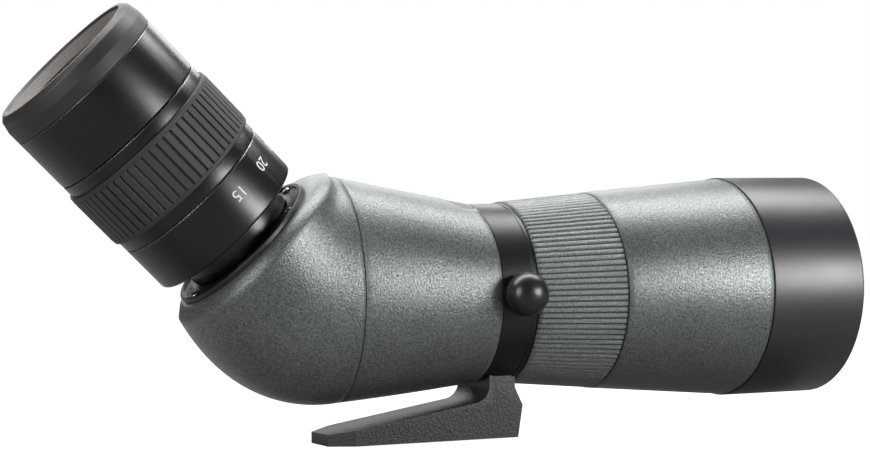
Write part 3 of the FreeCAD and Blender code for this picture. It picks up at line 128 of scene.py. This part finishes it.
def long_lens_camera():
    """A camera turned by azimuth, elevation and roll in degrees, at a place in mm."""
    lens = bpy.data.cameras.new("long_lens")
    lens.sensor_width = 36.0
    lens.lens = LENS_LENGTH
    lens.clip_start = 0.01
    camera = bpy.data.objects.new("long_lens", lens)
    azimuth, elevation, roll = (math.radians(angle) for angle in LENS_ANGLES)
    back = Vector((math.sin(azimuth) * math.cos(elevation), -math.cos(azimuth) * math.cos(elevation),
                   math.sin(elevation)))
    level = (-back).cross(Vector((0, 0, 1))).normalized()
    upright = level.cross(-back)
    right = math.cos(roll) * level + math.sin(roll) * upright
    up = -math.sin(roll) * level + math.cos(roll) * upright
    turn = Matrix((right, up, back)).transposed().to_4x4()
    camera.matrix_world = Matrix.Translation(Vector(LENS_PLACE) * MM) @ turn
    scene.collection.objects.link(camera)
    scene.camera = camera


white_surround()
pale_floor()
long_lens_camera()
MIDDLE = (0.03, 0.0, 0.06)
soft_box("top_box", (0.05, 0.20, 0.85), MIDDLE, (1.6, 0.36), 18.0)
soft_box("front_box", (0.80, -1.02, 0.24), MIDDLE, (0.55, 0.38), 15.0)
soft_box("rear_box", (0.1, 0.9, 0.6), MIDDLE, (1.2, 0.4), 5.0)
soft_box("left_box", (-1.00, -0.60, 0.35), (-0.1, 0, 0.1), (0.4, 0.6), 8.0)

# --- Housing: two cast shells with a seal between them, and a bare nameplate on the crown ---------
# Magnesium shells in grey-green wrinkle paint, pulled together over the prism. The paint stands in
# small soft grains; it is a little darker in the grain's valleys and lighter where hands rub it.


def wired(tree, kind, **values):
    """A shader node with its plain settings and input values."""
    node = tree.nodes.new(kind)
    for name, value in values.items():
        if hasattr(node, name):
            setattr(node, name, value)
        else:
            node.inputs[name.replace("_", " ")].default_value = value
    return node


def grained(name, dark, light, roughness, grain, depth, wear=0.0, metallic=0.0, rounding=0.0, ior=1.5):
    """A finish with grains of a size in mm, standing up by a depth in mm, and two colours mixed by
    a slow cloud and by the grain."""
    finish = bpy.data.materials.new(name)
    finish.use_nodes = True
    tree = finish.node_tree
    surface = tree.nodes["Principled BSDF"]
    surface.inputs["Metallic"].default_value = metallic
    surface.inputs["IOR"].default_value = ior
    place = wired(tree, "ShaderNodeTexCoord")
    fine = wired(tree, "ShaderNodeTexNoise", Scale=1 / (grain * MM), Detail=3.0, Roughness=0.6)
    slow = wired(tree, "ShaderNodeTexNoise", Scale=38.0, Detail=3.0, Roughness=0.5)
    for noise in (fine, slow):
        tree.links.new(place.outputs["Object"], noise.inputs["Vector"])
    blend = wired(tree, "ShaderNodeMath", operation="MULTIPLY_ADD")
    blend.inputs[1].default_value = 0.15
    tree.links.new(slow.outputs["Fac"], blend.inputs[0])
    share = wired(tree, "ShaderNodeMath", operation="MULTIPLY")
    share.inputs[1].default_value = 0.85
    tree.links.new(fine.outputs["Fac"], share.inputs[0])
    tree.links.new(share.outputs[0], blend.inputs[2])
    colour = wired(tree, "ShaderNodeValToRGB")
    colour.color_ramp.elements[0].position = 0.34
    colour.color_ramp.elements[0].color = (*dark, 1)
    colour.color_ramp.elements[1].position = 0.66
    colour.color_ramp.elements[1].color = (*light, 1)
    tree.links.new(blend.outputs[0], colour.inputs["Fac"])
    paint = colour.outputs["Color"]
    if wear:
        edge = wired(tree, "ShaderNodeNewGeometry")
        keen = wired(tree, "ShaderNodeValToRGB")
        keen.color_ramp.elements[0].position = 0.54
        keen.color_ramp.elements[1].position = 0.62
        tree.links.new(edge.outputs["Pointiness"], keen.inputs["Fac"])
        rubbed = wired(tree, "ShaderNodeMix", data_type="RGBA")
        amount = wired(tree, "ShaderNodeMath", operation="MULTIPLY")
        amount.inputs[1].default_value = wear
        tree.links.new(keen.outputs["Color"], amount.inputs[0])
        tree.links.new(amount.outputs[0], rubbed.inputs["Factor"])
        tree.links.new(paint, rubbed.inputs[6])
        rubbed.inputs[7].default_value = tuple(min(1, 2.2 * value + 0.05) for value in light) + (1,)
        paint = rubbed.outputs[2]
    tree.links.new(paint, surface.inputs["Base Color"])
    gloss = wired(tree, "ShaderNodeMapRange")
    gloss.inputs["From Min"].default_value = 0.3
    gloss.inputs["From Max"].default_value = 0.7
    gloss.inputs["To Min"].default_value = roughness - 0.02
    gloss.inputs["To Max"].default_value = roughness + 0.02
    tree.links.new(slow.outputs["Fac"], gloss.inputs["Value"])
    tree.links.new(gloss.outputs["Result"], surface.inputs["Roughness"])
    bump = wired(tree, "ShaderNodeBump", Strength=1.0, Distance=depth * MM)
    tree.links.new(fine.outputs["Fac"], bump.inputs["Height"])
    if rounding:
        soft = wired(tree, "ShaderNodeBevel", samples=6, Radius=rounding * MM)
        tree.links.new(soft.outputs["Normal"], bump.inputs["Normal"])
    tree.links.new(bump.outputs["Normal"], surface.inputs["Normal"])
    return finish


def painted(finish, *names):
    """Give CAD nodes a finish on every material slot."""
    for name in names:
        mesh = nodes[name].data
        mesh.materials.clear()
        mesh.materials.append(finish)


body_paint = grained("body_paint", (0.055, 0.062, 0.0585), (0.185, 0.202, 0.192), 0.33, 0.64, 0.15, wear=0.1,
                     metallic=0.55, rounding=3.0)
painted(body_paint, "prism_housing", "prism_cover")
plate_paint = grained("plate_paint", (0.07, 0.085, 0.077), (0.10, 0.12, 0.11), 0.5, 0.4, 0.15)
painted(plate_paint, "badge_plate")
soft_black = grained("soft_black", (0.003, 0.003, 0.003), (0.008, 0.008, 0.008), 0.7, 0.6, 0.05)
painted(soft_black, "cover_seal", "objective_seal")

# --- Front barrel: a turned cone from the focus ring to the sunshade ------------------------------
# The same wrinkle paint outside; a step at its front carries the thin guide tube for the sunshade.
AXIS_Z = (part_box("main_tube")[0][2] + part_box("main_tube")[1][2]) / 2
TUBE = Matrix.Translation((0, 0, AXIS_Z))


def rounded(profile, steps=5):
    """A closed outline of (along, radius, rounding) corners in mm, with each corner made an arc."""
    points = []
    count = len(profile)
    for index, (along, reach, radius) in enumerate(profile):
        here = Vector((along, reach))
        if radius <= 0:
            points.append(here)
            continue
        before = Vector(profile[index - 1][:2]) - here
        after = Vector(profile[(index + 1) % count][:2]) - here
        half = before.angle(after) / 2
        cut = min(radius / math.tan(half), 0.49 * before.length, 0.49 * after.length)
        start = here + before.normalized() * cut
        end = here + after.normalized() * cut
        for step in range(steps + 1):
            share = step / steps
            points.append((1 - share) ** 2 * start + 2 * share * (1 - share) * here + share ** 2 * end)
    return points


def turned(name, profile, axis, finish, body, replaced=(), around=192, steps=5):
    """A closed ring turned from an outline about the X axis, put on its axis."""
    points = rounded(profile, steps)
    shape = bmesh.new()
    rows = []
    for turn in range(around):
        angle = 2 * math.pi * turn / around
        rows.append([
            shape.verts.new((along * MM, -reach * MM * math.sin(angle), reach * MM * math.cos(angle)))
            for along, reach in points])
    for turn in range(around):
        row, following = rows[turn], rows[(turn + 1) % around]
        for step in range(len(points)):
            other = (step + 1) % len(points)
            shape.faces.new((row[step], row[other], following[other], following[step]))
    bmesh.ops.recalc_face_normals(shape, faces=shape.faces)
    return placed(name, shape, axis, finish, body, replaced)


def placed(name, shape, axis, finish, body, replaced=()):
    """Turn a bmesh into a piece of the scope, smooth but for its sharp corners."""
    for face in shape.faces:
        face.smooth = True
    for edge in shape.edges:
        edge.smooth = len(edge.link_faces) == 2 and edge.calc_face_angle(0) < math.radians(32)
    mesh = bpy.data.meshes.new(name)
    shape.to_mesh(mesh)
    shape.free()
    mesh.transform(axis)
    mesh.materials.append(finish)
    piece = bpy.data.objects.new(name, mesh)
    scene.collection.objects.link(piece)
    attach(piece, body)
    if replaced:
        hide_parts(*replaced)
    return piece


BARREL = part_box("front_barrel")
BARREL_START = BARREL[0][0] / MM
GUIDE_END = BARREL[1][0] / MM
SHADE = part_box("sunshade")
SHADE_START, SHADE_END = SHADE[0][0] / MM, SHADE[1][0] / MM
SHADE_RADIUS = (SHADE[1][2] - SHADE[0][2]) / 2 / MM
GUIDE_RADIUS = SHADE_RADIUS - 1.9
STEP = SHADE_START - 0.15
TUBE_RADIUS, TUBE_GRIP, GUIDE_BORE, THREAD_RADIUS, THREAD_LENGTH = 28.6, 6.15, 36.5, 36.0, 5.0
turned("barrel_skin", [
    (BARREL_START, TUBE_RADIUS, 0), (BARREL_START + TUBE_GRIP, TUBE_RADIUS, 0),
    (BARREL_START + TUBE_GRIP, 32.9, 0.5), (STEP - 10, GUIDE_BORE, 0.5),
    (GUIDE_END - THREAD_LENGTH, GUIDE_BORE, 0),
    (GUIDE_END - THREAD_LENGTH, THREAD_RADIUS, 0), (GUIDE_END, THREAD_RADIUS, 0.2),
    (GUIDE_END, GUIDE_RADIUS, 0.2), (STEP, GUIDE_RADIUS, 0), (STEP, 39.8, 0.35), (BARREL_START, 35.1, 0.35)],
    TUBE, body_paint, "scope_tube", ["front_barrel"])

# --- Sunshade: a sliding sleeve in smooth satin charcoal, felt-lined --------------------------------
# It slides on the guide tube against a felt ring and has a small rolled lip at its mouth.
shade_paint = grained("shade_paint", (0.0065, 0.0050, 0.0080), (0.011, 0.0085, 0.013), 0.39, 0.5, 0.02,
                      wear=0.15, ior=1.6)
SHADE_BORE = SHADE_RADIUS - 1.6
FELT_START, FELT_END, FELT_BORE = SHADE_START + 2, SHADE_START + 7, SHADE_BORE + 0.3
LIP_START = SHADE_END - 2.5
turned("sunshade_sleeve", [
    (SHADE_START, SHADE_BORE, 0.15), (FELT_START, SHADE_BORE, 0), (FELT_START, FELT_BORE, 0),
    (FELT_END, FELT_BORE, 0), (FELT_END, SHADE_BORE, 0), (LIP_START, SHADE_BORE, 0),
    (LIP_START, SHADE_BORE - 0.6, 0), (SHADE_END, SHADE_BORE - 0.4, 0.35), (SHADE_END, SHADE_RADIUS, 1.1),
    (SHADE_START, SHADE_RADIUS, 0.3)], TUBE, shade_paint, "sunshade", ["sunshade"], steps=6)
felt = grained("felt", (0.008, 0.008, 0.008), (0.022, 0.022, 0.022), 0.95, 0.25, 0.2)
painted(felt, "sunshade_felt")

# --- Focus ring: a knurled cone turned by hand ------------------------------------------------------
# Machined with close straight grooves along its length and then painted, so the lands keep the same wrinkle
# as the barrel.
# The groove floors get a near-black colour, painted shade, so the grooves between the lands read as dark
# lines.


def ring_tree():
    """Geometry Nodes: copies of a piece, evenly spaced about the X axis."""
    tree = bpy.data.node_groups.new("Around the axis", "GeometryNodeTree")
    face = tree.interface
    face.new_socket("Geometry", in_out="INPUT", socket_type="NodeSocketGeometry")
    copies = face.new_socket("Copies", in_out="INPUT", socket_type="NodeSocketInt")
    copies.default_value = 6
    first = face.new_socket("First angle", in_out="INPUT", socket_type="NodeSocketFloat")
    first.default_value = 0.0
    face.new_socket("Finish", in_out="INPUT", socket_type="NodeSocketMaterial")
    face.new_socket("Geometry", in_out="OUTPUT", socket_type="NodeSocketGeometry")
    given = tree.nodes.new("NodeGroupInput")
    result = tree.nodes.new("NodeGroupOutput")
    spots = tree.nodes.new("GeometryNodePoints")
    number = tree.nodes.new("GeometryNodeInputIndex")
    part = tree.nodes.new("ShaderNodeMath")
    part.operation = "DIVIDE"
    turn = tree.nodes.new("ShaderNodeMath")
    turn.operation = "MULTIPLY_ADD"
    turn.inputs[1].default_value = 2 * math.pi
    spin = tree.nodes.new("ShaderNodeCombineXYZ")
    copy = tree.nodes.new("GeometryNodeInstanceOnPoints")
    real = tree.nodes.new("GeometryNodeRealizeInstances")
    paint = tree.nodes.new("GeometryNodeSetMaterial")
    for out, into in (
            (given.outputs["Copies"], spots.inputs["Count"]), (number.outputs[0], part.inputs[0]),
            (given.outputs["Copies"], part.inputs[1]), (part.outputs[0], turn.inputs[0]),
            (given.outputs["First angle"], turn.inputs[2]), (turn.outputs[0], spin.inputs["X"]),
            (spots.outputs[0], copy.inputs["Points"]), (given.outputs["Geometry"], copy.inputs["Instance"]),
            (spin.outputs[0], copy.inputs["Rotation"]), (copy.outputs[0], real.inputs[0]),
            (real.outputs[0], paint.inputs["Geometry"]), (given.outputs["Finish"], paint.inputs["Material"]),
            (paint.outputs[0], result.inputs[0])):
        tree.links.new(out, into)
    return tree


AROUND = ring_tree()
SOCKETS = {item.name: item.identifier for item in AROUND.interface.items_tree if item.in_out == "INPUT"}


def repeated(name, shape, copies, axis, finish, body, first=0.0):
    """One drawn bmesh repeated about the X axis, as one plain mesh on its axis."""
    for face in shape.faces:
        face.smooth = True
    for edge in shape.edges:
        edge.smooth = len(edge.link_faces) == 2 and edge.calc_face_angle(0) < math.radians(40)
    mesh = bpy.data.meshes.new(name)
    shape.to_mesh(mesh)
    shape.free()
    piece = bpy.data.objects.new(name, mesh)
    scene.collection.objects.link(piece)
    modifier = piece.modifiers.new("Around", "NODES")
    modifier.node_group = AROUND
    modifier[SOCKETS["Copies"]] = copies
    modifier[SOCKETS["First angle"]] = first
    modifier[SOCKETS["Finish"]] = finish
    evaluated = piece.evaluated_get(bpy.context.evaluated_depsgraph_get())
    plain = bpy.data.meshes.new_from_object(evaluated)
    piece.modifiers.remove(modifier)
    piece.data = plain
    plain.transform(axis)
    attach(piece, body)
    return piece


def land(start, end, base_start, base_end, rise, half_width, edge, taper):
    """A bar along a cone: its ends' stations, base radii, height, half width, rounded edge, and
    how far its two ends slope."""
    bar = bmesh.new()
    stations = ((start, base_start, 0.0), (start + taper, base_start, 1.0), (end - taper, base_end, 1.0),
                (end, base_end, 0.0))
    rings = []
    for along, base, up in stations:
        top = base + rise * up
        low = base - 0.3
        across = ((-half_width, low), (-half_width, max(low, top - edge)), (-half_width + edge, top),
                  (half_width - edge, top), (half_width, max(low, top - edge)), (half_width, low))
        rings.append([bar.verts.new((along * MM, side * MM, height * MM)) for side, height in across])
    for ring, following in zip(rings, rings[1:]):
        for step in range(5):
            bar.faces.new((ring[step], ring[step + 1], following[step + 1], following[step]))
    bar.faces.new(rings[0])
    bar.faces.new(rings[-1])
    bmesh.ops.recalc_face_normals(bar, faces=bar.faces)
    return bar


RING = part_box("focus_ring")
RING_START, RING_END = RING[0][0] / MM, RING[1][0] / MM
RING_SMALL, RING_LARGE = 32.0, (RING[1][2] - RING[0][2]) / 2 / MM
LANDS, GROOVE = 104, 0.75
# Near-black floor between the lands: painted shade for the grooves, which carry the same paint as the lands.
painted_groove_shade = grained("painted_groove_shade", (0.008, 0.010, 0.009), (0.022, 0.027, 0.024), 0.6, 0.8, 0.2)
RUNNING_BORE = TUBE_RADIUS + 0.1
turned("focus_ring_core", [
    (RING_START, RUNNING_BORE, 0), (RING_END, RUNNING_BORE, 0), (RING_END, RING_LARGE - GROOVE, 0),
    (RING_START, RING_SMALL - GROOVE, 0)], TUBE, painted_groove_shade, "focus_ring", ["focus_ring"])
ring_land = land(RING_START + 0.05, RING_END - 0.05, RING_SMALL - GROOVE, RING_LARGE - GROOVE - 0.02,
                 GROOVE, 0.70, 0.25, 0.35)
repeated("focus_ring_lands", ring_land, LANDS, TUBE, body_paint, "focus_ring")

# --- Collar, lock knob and foot: the tripod mount ----------------------------------------------------
# A black ring that the tube turns in, a domed thumb knob on its lock screw, and a cast foot.
black_paint = grained("black_paint", (0.003, 0.003, 0.0033), (0.006, 0.0057, 0.0062), 0.34, 0.8, 0.06,
                      wear=0.1, ior=1.42)
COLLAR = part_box("tripod_collar")
COLLAR_START, COLLAR_END = COLLAR[0][0] / MM, COLLAR[1][0] / MM
turned("collar_band", [
    (COLLAR_START, RUNNING_BORE, 0.1), (COLLAR_END, RUNNING_BORE, 0.1), (COLLAR_END, 31.5, 0.3),
    (COLLAR_END - 1.3, 31.5, 0.3),
    (COLLAR_END - 1.6, 31.22, 0.3), (COLLAR_START, 31.22, 0.4)],
    TUBE, black_paint, "mount")
painted(black_paint, "tripod_collar")
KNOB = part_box("lock_knob")
KNOB_X = (KNOB[0][0] + KNOB[1][0]) / 2
LOCK = Matrix.Translation((KNOB_X, 0, AXIS_Z)) @ Matrix.Rotation(math.radians(-90), 4, "Z")
KNOB_START, KNOB_END = -KNOB[1][1] / MM, -KNOB[0][1] / MM
KNOB_RADIUS = (KNOB[1][0] - KNOB[0][0]) / 2 / MM
knob_gloss = grained("knob_gloss", (0.004, 0.004, 0.0045), (0.007, 0.007, 0.0075), 0.34, 0.3, 0.01)
DOME_START, DOME_STEPS, SCREW_HOLE = KNOB_START + 3, 14, 1.95
KNURL_BASE, KNURLS = KNOB_RADIUS - 0.5, 60
dome = []
for step in range(DOME_STEPS):
    angle = math.pi / 2 * step / DOME_STEPS
    dome.append((DOME_START + (KNOB_END - DOME_START) * math.sin(angle),
                 (KNOB_RADIUS - 0.15) * math.cos(angle), 0))
turned("knob_dome", [(KNOB_START, SCREW_HOLE, 0), (KNOB_START, KNURL_BASE, 0.3), *dome, (KNOB_END, 0.02, 0),
                     (DOME_START, 0.02, 0), (DOME_START, SCREW_HOLE, 0)],
       LOCK, knob_gloss, "lock_knob", ["lock_knob"], around=96)
knurl = land(KNOB_START + 0.3, KNOB_START + 3.1, KNURL_BASE, KNURL_BASE, 0.45, 0.22, 0.14, 0.4)
repeated("knob_knurl", knurl, KNURLS, LOCK, knob_gloss, "lock_knob")
foot_paint = grained("foot_paint", (0.005, 0.0043, 0.0039), (0.014, 0.0122, 0.011), 0.42, 0.75, 0.18,
                     wear=0.3, ior=1.4)
painted(foot_paint, "tripod_foot")
blackened = grained("blackened_steel", (0.10, 0.10, 0.105), (0.16, 0.16, 0.165), 0.32, 0.3, 0.01,
                    metallic=1.0)
painted(blackened, "foot_screws", "tripod_bush", "lock_screw", "prism_screws", "focus_pin", "zoom_pin_front",
        "zoom_pin_rear", "prism_clamp")

# --- Eyepiece seat: a dished flange held by six small screws -----------------------------------------
# The eyepiece's neck drops into its notched bore and locks with a short turn.
TWIST = next(joint for joint in frame["joints"] if joint["name"] == "eyepiece_twist")
SEAT = Vector(TWIST["pos_m"])
OUT = Vector(TWIST["axis"]).normalized()
SIDE = Vector((0, 1, 0))
EYE = Matrix.Translation(SEAT) @ Matrix((OUT, SIDE, OUT.cross(SIDE))).transposed().to_4x4()
flange_black = grained("flange_black", (0.006, 0.005, 0.0045), (0.012, 0.0105, 0.0095), 0.42, 0.5, 0.04,
                       wear=0.15)
FLANGE_BACK, FLANGE_DISH, FLANGE_BORE, FLANGE_RADIUS = -1.75, -0.9, 22.3, 27.3
turned("flange_rim", [
    (FLANGE_BACK, FLANGE_BORE, 0), (FLANGE_BACK, FLANGE_RADIUS, 0.1), (0, FLANGE_RADIUS, 0.35),
    (0, 26.1, 0.3), (FLANGE_DISH, 25.7, 0.3), (FLANGE_DISH, FLANGE_BORE, 0)],
    EYE, flange_black, "scope_tube")
painted(flange_black, "eyepiece_flange")
screw_steel = grained("screw_steel", (0.32, 0.32, 0.33), (0.5, 0.5, 0.5), 0.25, 0.3, 0.01, metallic=1.0)


def button_screw(pitch, seat, reach, height):
    """A small domed screw head with a hexagonal socket, standing at a pitch radius."""
    head = bmesh.new()
    around, levels = 24, ((1.0, 0.0), (1.0, 0.25), (0.92, 0.62), (0.75, 0.9), (0.55, 1.0))
    rows = []
    for share, rise in levels:
        rows.append([head.verts.new(((seat + height * rise) * MM,
                                     reach * share * math.sin(2 * math.pi * turn / around) * MM,
                                     (pitch + reach * share * math.cos(2 * math.pi * turn / around)) * MM))
                     for turn in range(around)])
    for depth, wide in ((1.0, 0.42), (0.35, 0.42)):
        ring = []
        for turn in range(around):
            angle = 2 * math.pi * turn / around
            flat = wide * math.cos(math.pi / 6) / math.cos((angle % (math.pi / 3)) - math.pi / 6)
            ring.append(head.verts.new(((seat + height * depth) * MM, reach * flat * math.sin(angle) * MM,
                                        (pitch + reach * flat * math.cos(angle)) * MM)))
        rows.append(ring)
    for row, following in zip(rows, rows[1:]):
        for turn in range(around):
            other = (turn + 1) % around
            head.faces.new((row[turn], row[other], following[other], following[turn]))
    head.faces.new(rows[0])
    head.faces.new(rows[-1])
    bmesh.ops.recalc_face_normals(head, faces=head.faces)
    return head


screws = repeated("flange_screw_heads", button_screw(24.3, FLANGE_DISH, 1.55, 0.9), 6, EYE, screw_steel,
                  "scope_tube", first=math.radians(5))
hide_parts("flange_screws")

# --- Eyepiece barrels: neck, numbered base, zoom ring and eyecup sleeve --------------------------------
# Turned aluminium in fine satin black. The base, the zoom ring and the sleeve each have a thin light grey
# ring at their upper edge: a painted glint along the edge's chamfer.
NECK_TOP, BASE_TOP, ZOOM_START, GRIP_START, GRIP_END, ZOOM_END = 6.9, 24.2, 24.5, 28.75, 49.7, 53.9
SLEEVE_START, SLEEVE_END, EYE_RADIUS = 54.3, 74.1, 28.8
NECK_START, NECK_SHOULDER, NECK_BORE, NECK_INNER, NECK_RADIUS = -8.0, -0.6, 14.5, 17.9, 20.5
BASE_BORE, ZOOM_BORE, GRIP_SEAT, SLEEVE_BORE, SLIP_BORE, CAP_BORE = 26.5, 24.1, 27.2, 24.6, 26.0, 19.5
eyepiece_black = grained("eyepiece_black", (0.0012, 0.0012, 0.0013), (0.0035, 0.0034, 0.0035), 0.29, 0.45,
                         0.035, wear=0.3)
turned("neck", [
    (NECK_SHOULDER, NECK_INNER, 0), (NECK_SHOULDER, NECK_RADIUS, 2.0), (NECK_TOP, NECK_RADIUS, 0),
    (NECK_TOP, NECK_BORE, 0), (NECK_START, NECK_BORE, 0), (NECK_START, NECK_INNER, 0)],
    EYE, eyepiece_black, "eyepiece")
painted(eyepiece_black, "eyepiece_bayonet")
turned("base_barrel", [
    (NECK_TOP, 14.6, 0), (NECK_TOP, EYE_RADIUS, 1.2), (BASE_TOP, EYE_RADIUS, 0.35),
    (BASE_TOP, BASE_BORE, 0.1), (NECK_TOP + 3, BASE_BORE, 0), (NECK_TOP + 3, 14.6, 0)],
    EYE, eyepiece_black, "eyepiece", ["eyepiece_base"])
turned("zoom_barrel", [
    (ZOOM_START, ZOOM_BORE, 0), (ZOOM_START, EYE_RADIUS, 0.3), (GRIP_START, EYE_RADIUS, 0.1),
    (GRIP_START, GRIP_SEAT, 0), (GRIP_END, GRIP_SEAT, 0), (GRIP_END, EYE_RADIUS, 0.1),
    (ZOOM_END, EYE_RADIUS, 0.3), (ZOOM_END, ZOOM_BORE, 0)],
    EYE, eyepiece_black, "zoom_ring", ["zoom_ring"])
turned("eyecup_barrel", [
    (SLEEVE_START, SLEEVE_BORE, 0), (SLEEVE_START, EYE_RADIUS, 0.35), (SLEEVE_END, EYE_RADIUS, 0.35),
    (SLEEVE_END, CAP_BORE, 0.3), (SLEEVE_END - 2.3, CAP_BORE, 0), (SLEEVE_END - 2.3, SLEEVE_BORE, 0),
    (SLEEVE_START + 9.9, SLEEVE_BORE, 0), (SLEEVE_START + 9.9, SLIP_BORE, 0),
    (SLEEVE_START + 1.4, SLIP_BORE, 0), (SLEEVE_START + 1.4, SLEEVE_BORE, 0)],
    EYE, eyepiece_black, "eyecup", ["eyecup_sleeve"])
# Light grey metal rings at the upper edges of the barrels: a painted glint, standing in for light caught
# along each edge.
painted_edge_glint = grained("painted_edge_glint", (0.42, 0.42, 0.42), (0.62, 0.62, 0.62), 0.3, 0.3, 0.01, metallic=0.6)
EDGE = 0.3
for name, station, body in (("base_edge", BASE_TOP, "eyepiece"), ("zoom_edge", ZOOM_END, "zoom_ring"),
                            ("sleeve_edge", SLEEVE_END, "eyecup")):
    turned(name, [
        (station - EDGE, EYE_RADIUS - 0.4, 0), (station - EDGE, EYE_RADIUS + 0.02, 0),
        (station + 0.01, EYE_RADIUS - 0.25, 0), (station + 0.01, EYE_RADIUS - 0.4, 0)],
        EYE, painted_edge_glint, body)

# --- Zoom grip: a ribbed rubber sleeve stretched over the zoom ring -----------------------------------
# Wide flat ribs with narrow gaps, and a plain band at each end.
grip_rubber = grained("grip_rubber", (0.012, 0.012, 0.013), (0.022, 0.022, 0.023), 0.6, 0.6, 0.06, wear=0.1)
GRIP_RADIUS, GRIP_GAP, RIBS = 29.9, 0.75, 60
turned("grip_sleeve", [
    (GRIP_START, GRIP_SEAT, 0), (GRIP_START, GRIP_RADIUS - 0.1, 0.5),
    (GRIP_START + 1.5, GRIP_RADIUS - 0.1, 0.3),
    (GRIP_START + 1.6, GRIP_RADIUS - GRIP_GAP, 0), (GRIP_END - 1.9, GRIP_RADIUS - GRIP_GAP, 0),
    (GRIP_END - 1.8, GRIP_RADIUS - 0.1, 0.3), (GRIP_END, GRIP_RADIUS - 0.1, 0.5),
    (GRIP_END, GRIP_SEAT, 0)],
    EYE, grip_rubber, "zoom_ring", ["zoom_grip"])
grip_rib = land(GRIP_START + 1.2, GRIP_END - 1.4, GRIP_RADIUS - GRIP_GAP, GRIP_RADIUS - GRIP_GAP,
                GRIP_GAP, 1.22, 0.2, 0.3)
repeated("grip_ribs", grip_rib, RIBS, EYE, grip_rubber, "zoom_ring")

# --- Eyecup: a soft rubber cup on the sleeve --------------------------------------------------------------
# Moulded rubber, dull from handling, browner inside. The sloping lip inside is not in the CAD. It hides
# the CAD's eye lens, which sits too deep, and its depth is given here.
cup_rubber = grained("cup_rubber", (0.011, 0.0105, 0.0105), (0.019, 0.018, 0.0175), 0.5, 0.9, 0.05, wear=0.1)
CUP_RIM, LIP, LIP_TOP = 84.0, 79.8, 83.1
turned("cup", [
    (SLEEVE_END, 21.5, 0.2), (83.2, 24.4, 0.5), (CUP_RIM, 25.1, 0.35), (CUP_RIM, 26.3, 0.5),
    (82.4, 27.9, 1.2), (78.5, EYE_RADIUS, 1.5), (SLEEVE_END, EYE_RADIUS, 0.4)],
    EYE, cup_rubber, "eyecup", ["eyecup_rubber"], steps=7)
# The lining inside the cup is a lighter, browner rubber than the outside.
brown_lining_rubber = grained("brown_lining_rubber", (0.085, 0.074, 0.066), (0.13, 0.115, 0.103), 0.6, 0.9, 0.05)
turned("cup_lining", [
    (LIP, 20.6, 0.15), (LIP_TOP, 24.33, 0.1), (LIP_TOP, 24.5, 0), (LIP - 0.8, 22.5, 0),
    (LIP - 0.8, 20.8, 0.15)],
    EYE, brown_lining_rubber, "eyecup")

# --- Scale on the base barrel: plain numbers ---------------------------------------------------------------
# White paint, read from the eyepiece's side. The digits stand a few hundredths of a mm off the barrel.
scale_white = grained("scale_white", (0.55, 0.55, 0.53), (0.75, 0.75, 0.72), 0.6, 0.3, 0.01)
NUMBER_RADIUS, NUMBER_STATION, NUMBER_HEIGHT = EYE_RADIUS + 0.02, 17.5, 4.0


def scale_number(text, turn):
    """Raised digits, bent round the barrel at an angle."""
    curve = bpy.data.curves.new("digits", "FONT")
    curve.body = text
    curve.size = NUMBER_HEIGHT * 1.35
    curve.align_x = "CENTER"
    curve.align_y = "CENTER"
    curve.extrude = 0.04
    curve.resolution_u = 4
    draft = bpy.data.objects.new("digits", curve)
    scene.collection.objects.link(draft)
    flat = bpy.data.meshes.new_from_object(draft.evaluated_get(bpy.context.evaluated_depsgraph_get()))
    bpy.data.objects.remove(draft)
    shape = bmesh.new()
    shape.from_mesh(flat)
    for vertex in shape.verts:
        across, up, out = vertex.co
        angle = turn + across / NUMBER_RADIUS
        reach = NUMBER_RADIUS + out
        vertex.co = Vector(((NUMBER_STATION - up), reach * math.sin(angle), reach * math.cos(angle))) * MM
    bmesh.ops.recalc_face_normals(shape, faces=shape.faces)
    return shape


for text, turn in (("15", -98), ("20", -128), ("30", -160), ("45", -192)):
    placed("scale_" + text, scale_number(text, math.radians(turn)), EYE, scale_white, "eyepiece")

# --- Glass: coated lenses in blackened cells, and the roof prism -------------------------------------------
# The coatings throw back a faint green in front and a faint violet at the eye.


def coated_glass(name, tint):
    glass = bpy.data.materials.new(name)
    glass.use_nodes = True
    tree = glass.node_tree
    surface = tree.nodes["Principled BSDF"]
    surface.inputs["Transmission Weight"].default_value = 1.0
    surface.inputs["IOR"].default_value = 1.52
    surface.inputs["Roughness"].default_value = 0.02
    surface.inputs["Coat Weight"].default_value = 0.6
    surface.inputs["Coat Tint"].default_value = (*tint, 1)
    place = wired(tree, "ShaderNodeTexCoord")
    haze = wired(tree, "ShaderNodeTexNoise", Scale=60.0, Detail=2.0)
    tree.links.new(place.outputs["Object"], haze.inputs["Vector"])
    colour = wired(tree, "ShaderNodeValToRGB")
    colour.color_ramp.elements[0].color = (0.95, 0.98, 0.97, 1)
    colour.color_ramp.elements[1].color = (0.98, 1.0, 0.99, 1)
    tree.links.new(haze.outputs["Fac"], colour.inputs["Fac"])
    tree.links.new(colour.outputs["Color"], surface.inputs["Base Color"])
    return glass


painted(coated_glass("front_coating", (0.55, 0.9, 0.65)), "objective_front_lens", "objective_rear_lens",
        "focus_lens")
painted(coated_glass("eye_coating", (0.75, 0.6, 0.95)), "eye_lens", "zoom_lens_front", "zoom_lens_rear")
painted(coated_glass("prism_glass", (0.8, 0.85, 0.9)), "roof_prism")
anodised = grained("black_anodised", (0.006, 0.006, 0.007), (0.013, 0.013, 0.014), 0.5, 0.3, 0.02,
                   metallic=0.2)
painted(anodised, "main_tube", "tube_nut", "tube_baffle", "prism_holder", "objective_cell",
        "objective_spacer", "objective_ring", "focus_cell", "focus_lens_ring", "guide_tube", "eye_lens_cell",
        "eye_lens_ring",
        "zoom_carriage_front", "zoom_carriage_rear")
slip_plastic = grained("slip_plastic", (0.03, 0.03, 0.03), (0.05, 0.05, 0.05), 0.6, 0.5, 0.02)
painted(slip_plastic, "lock_shoe", "eyecup_slip_ring")
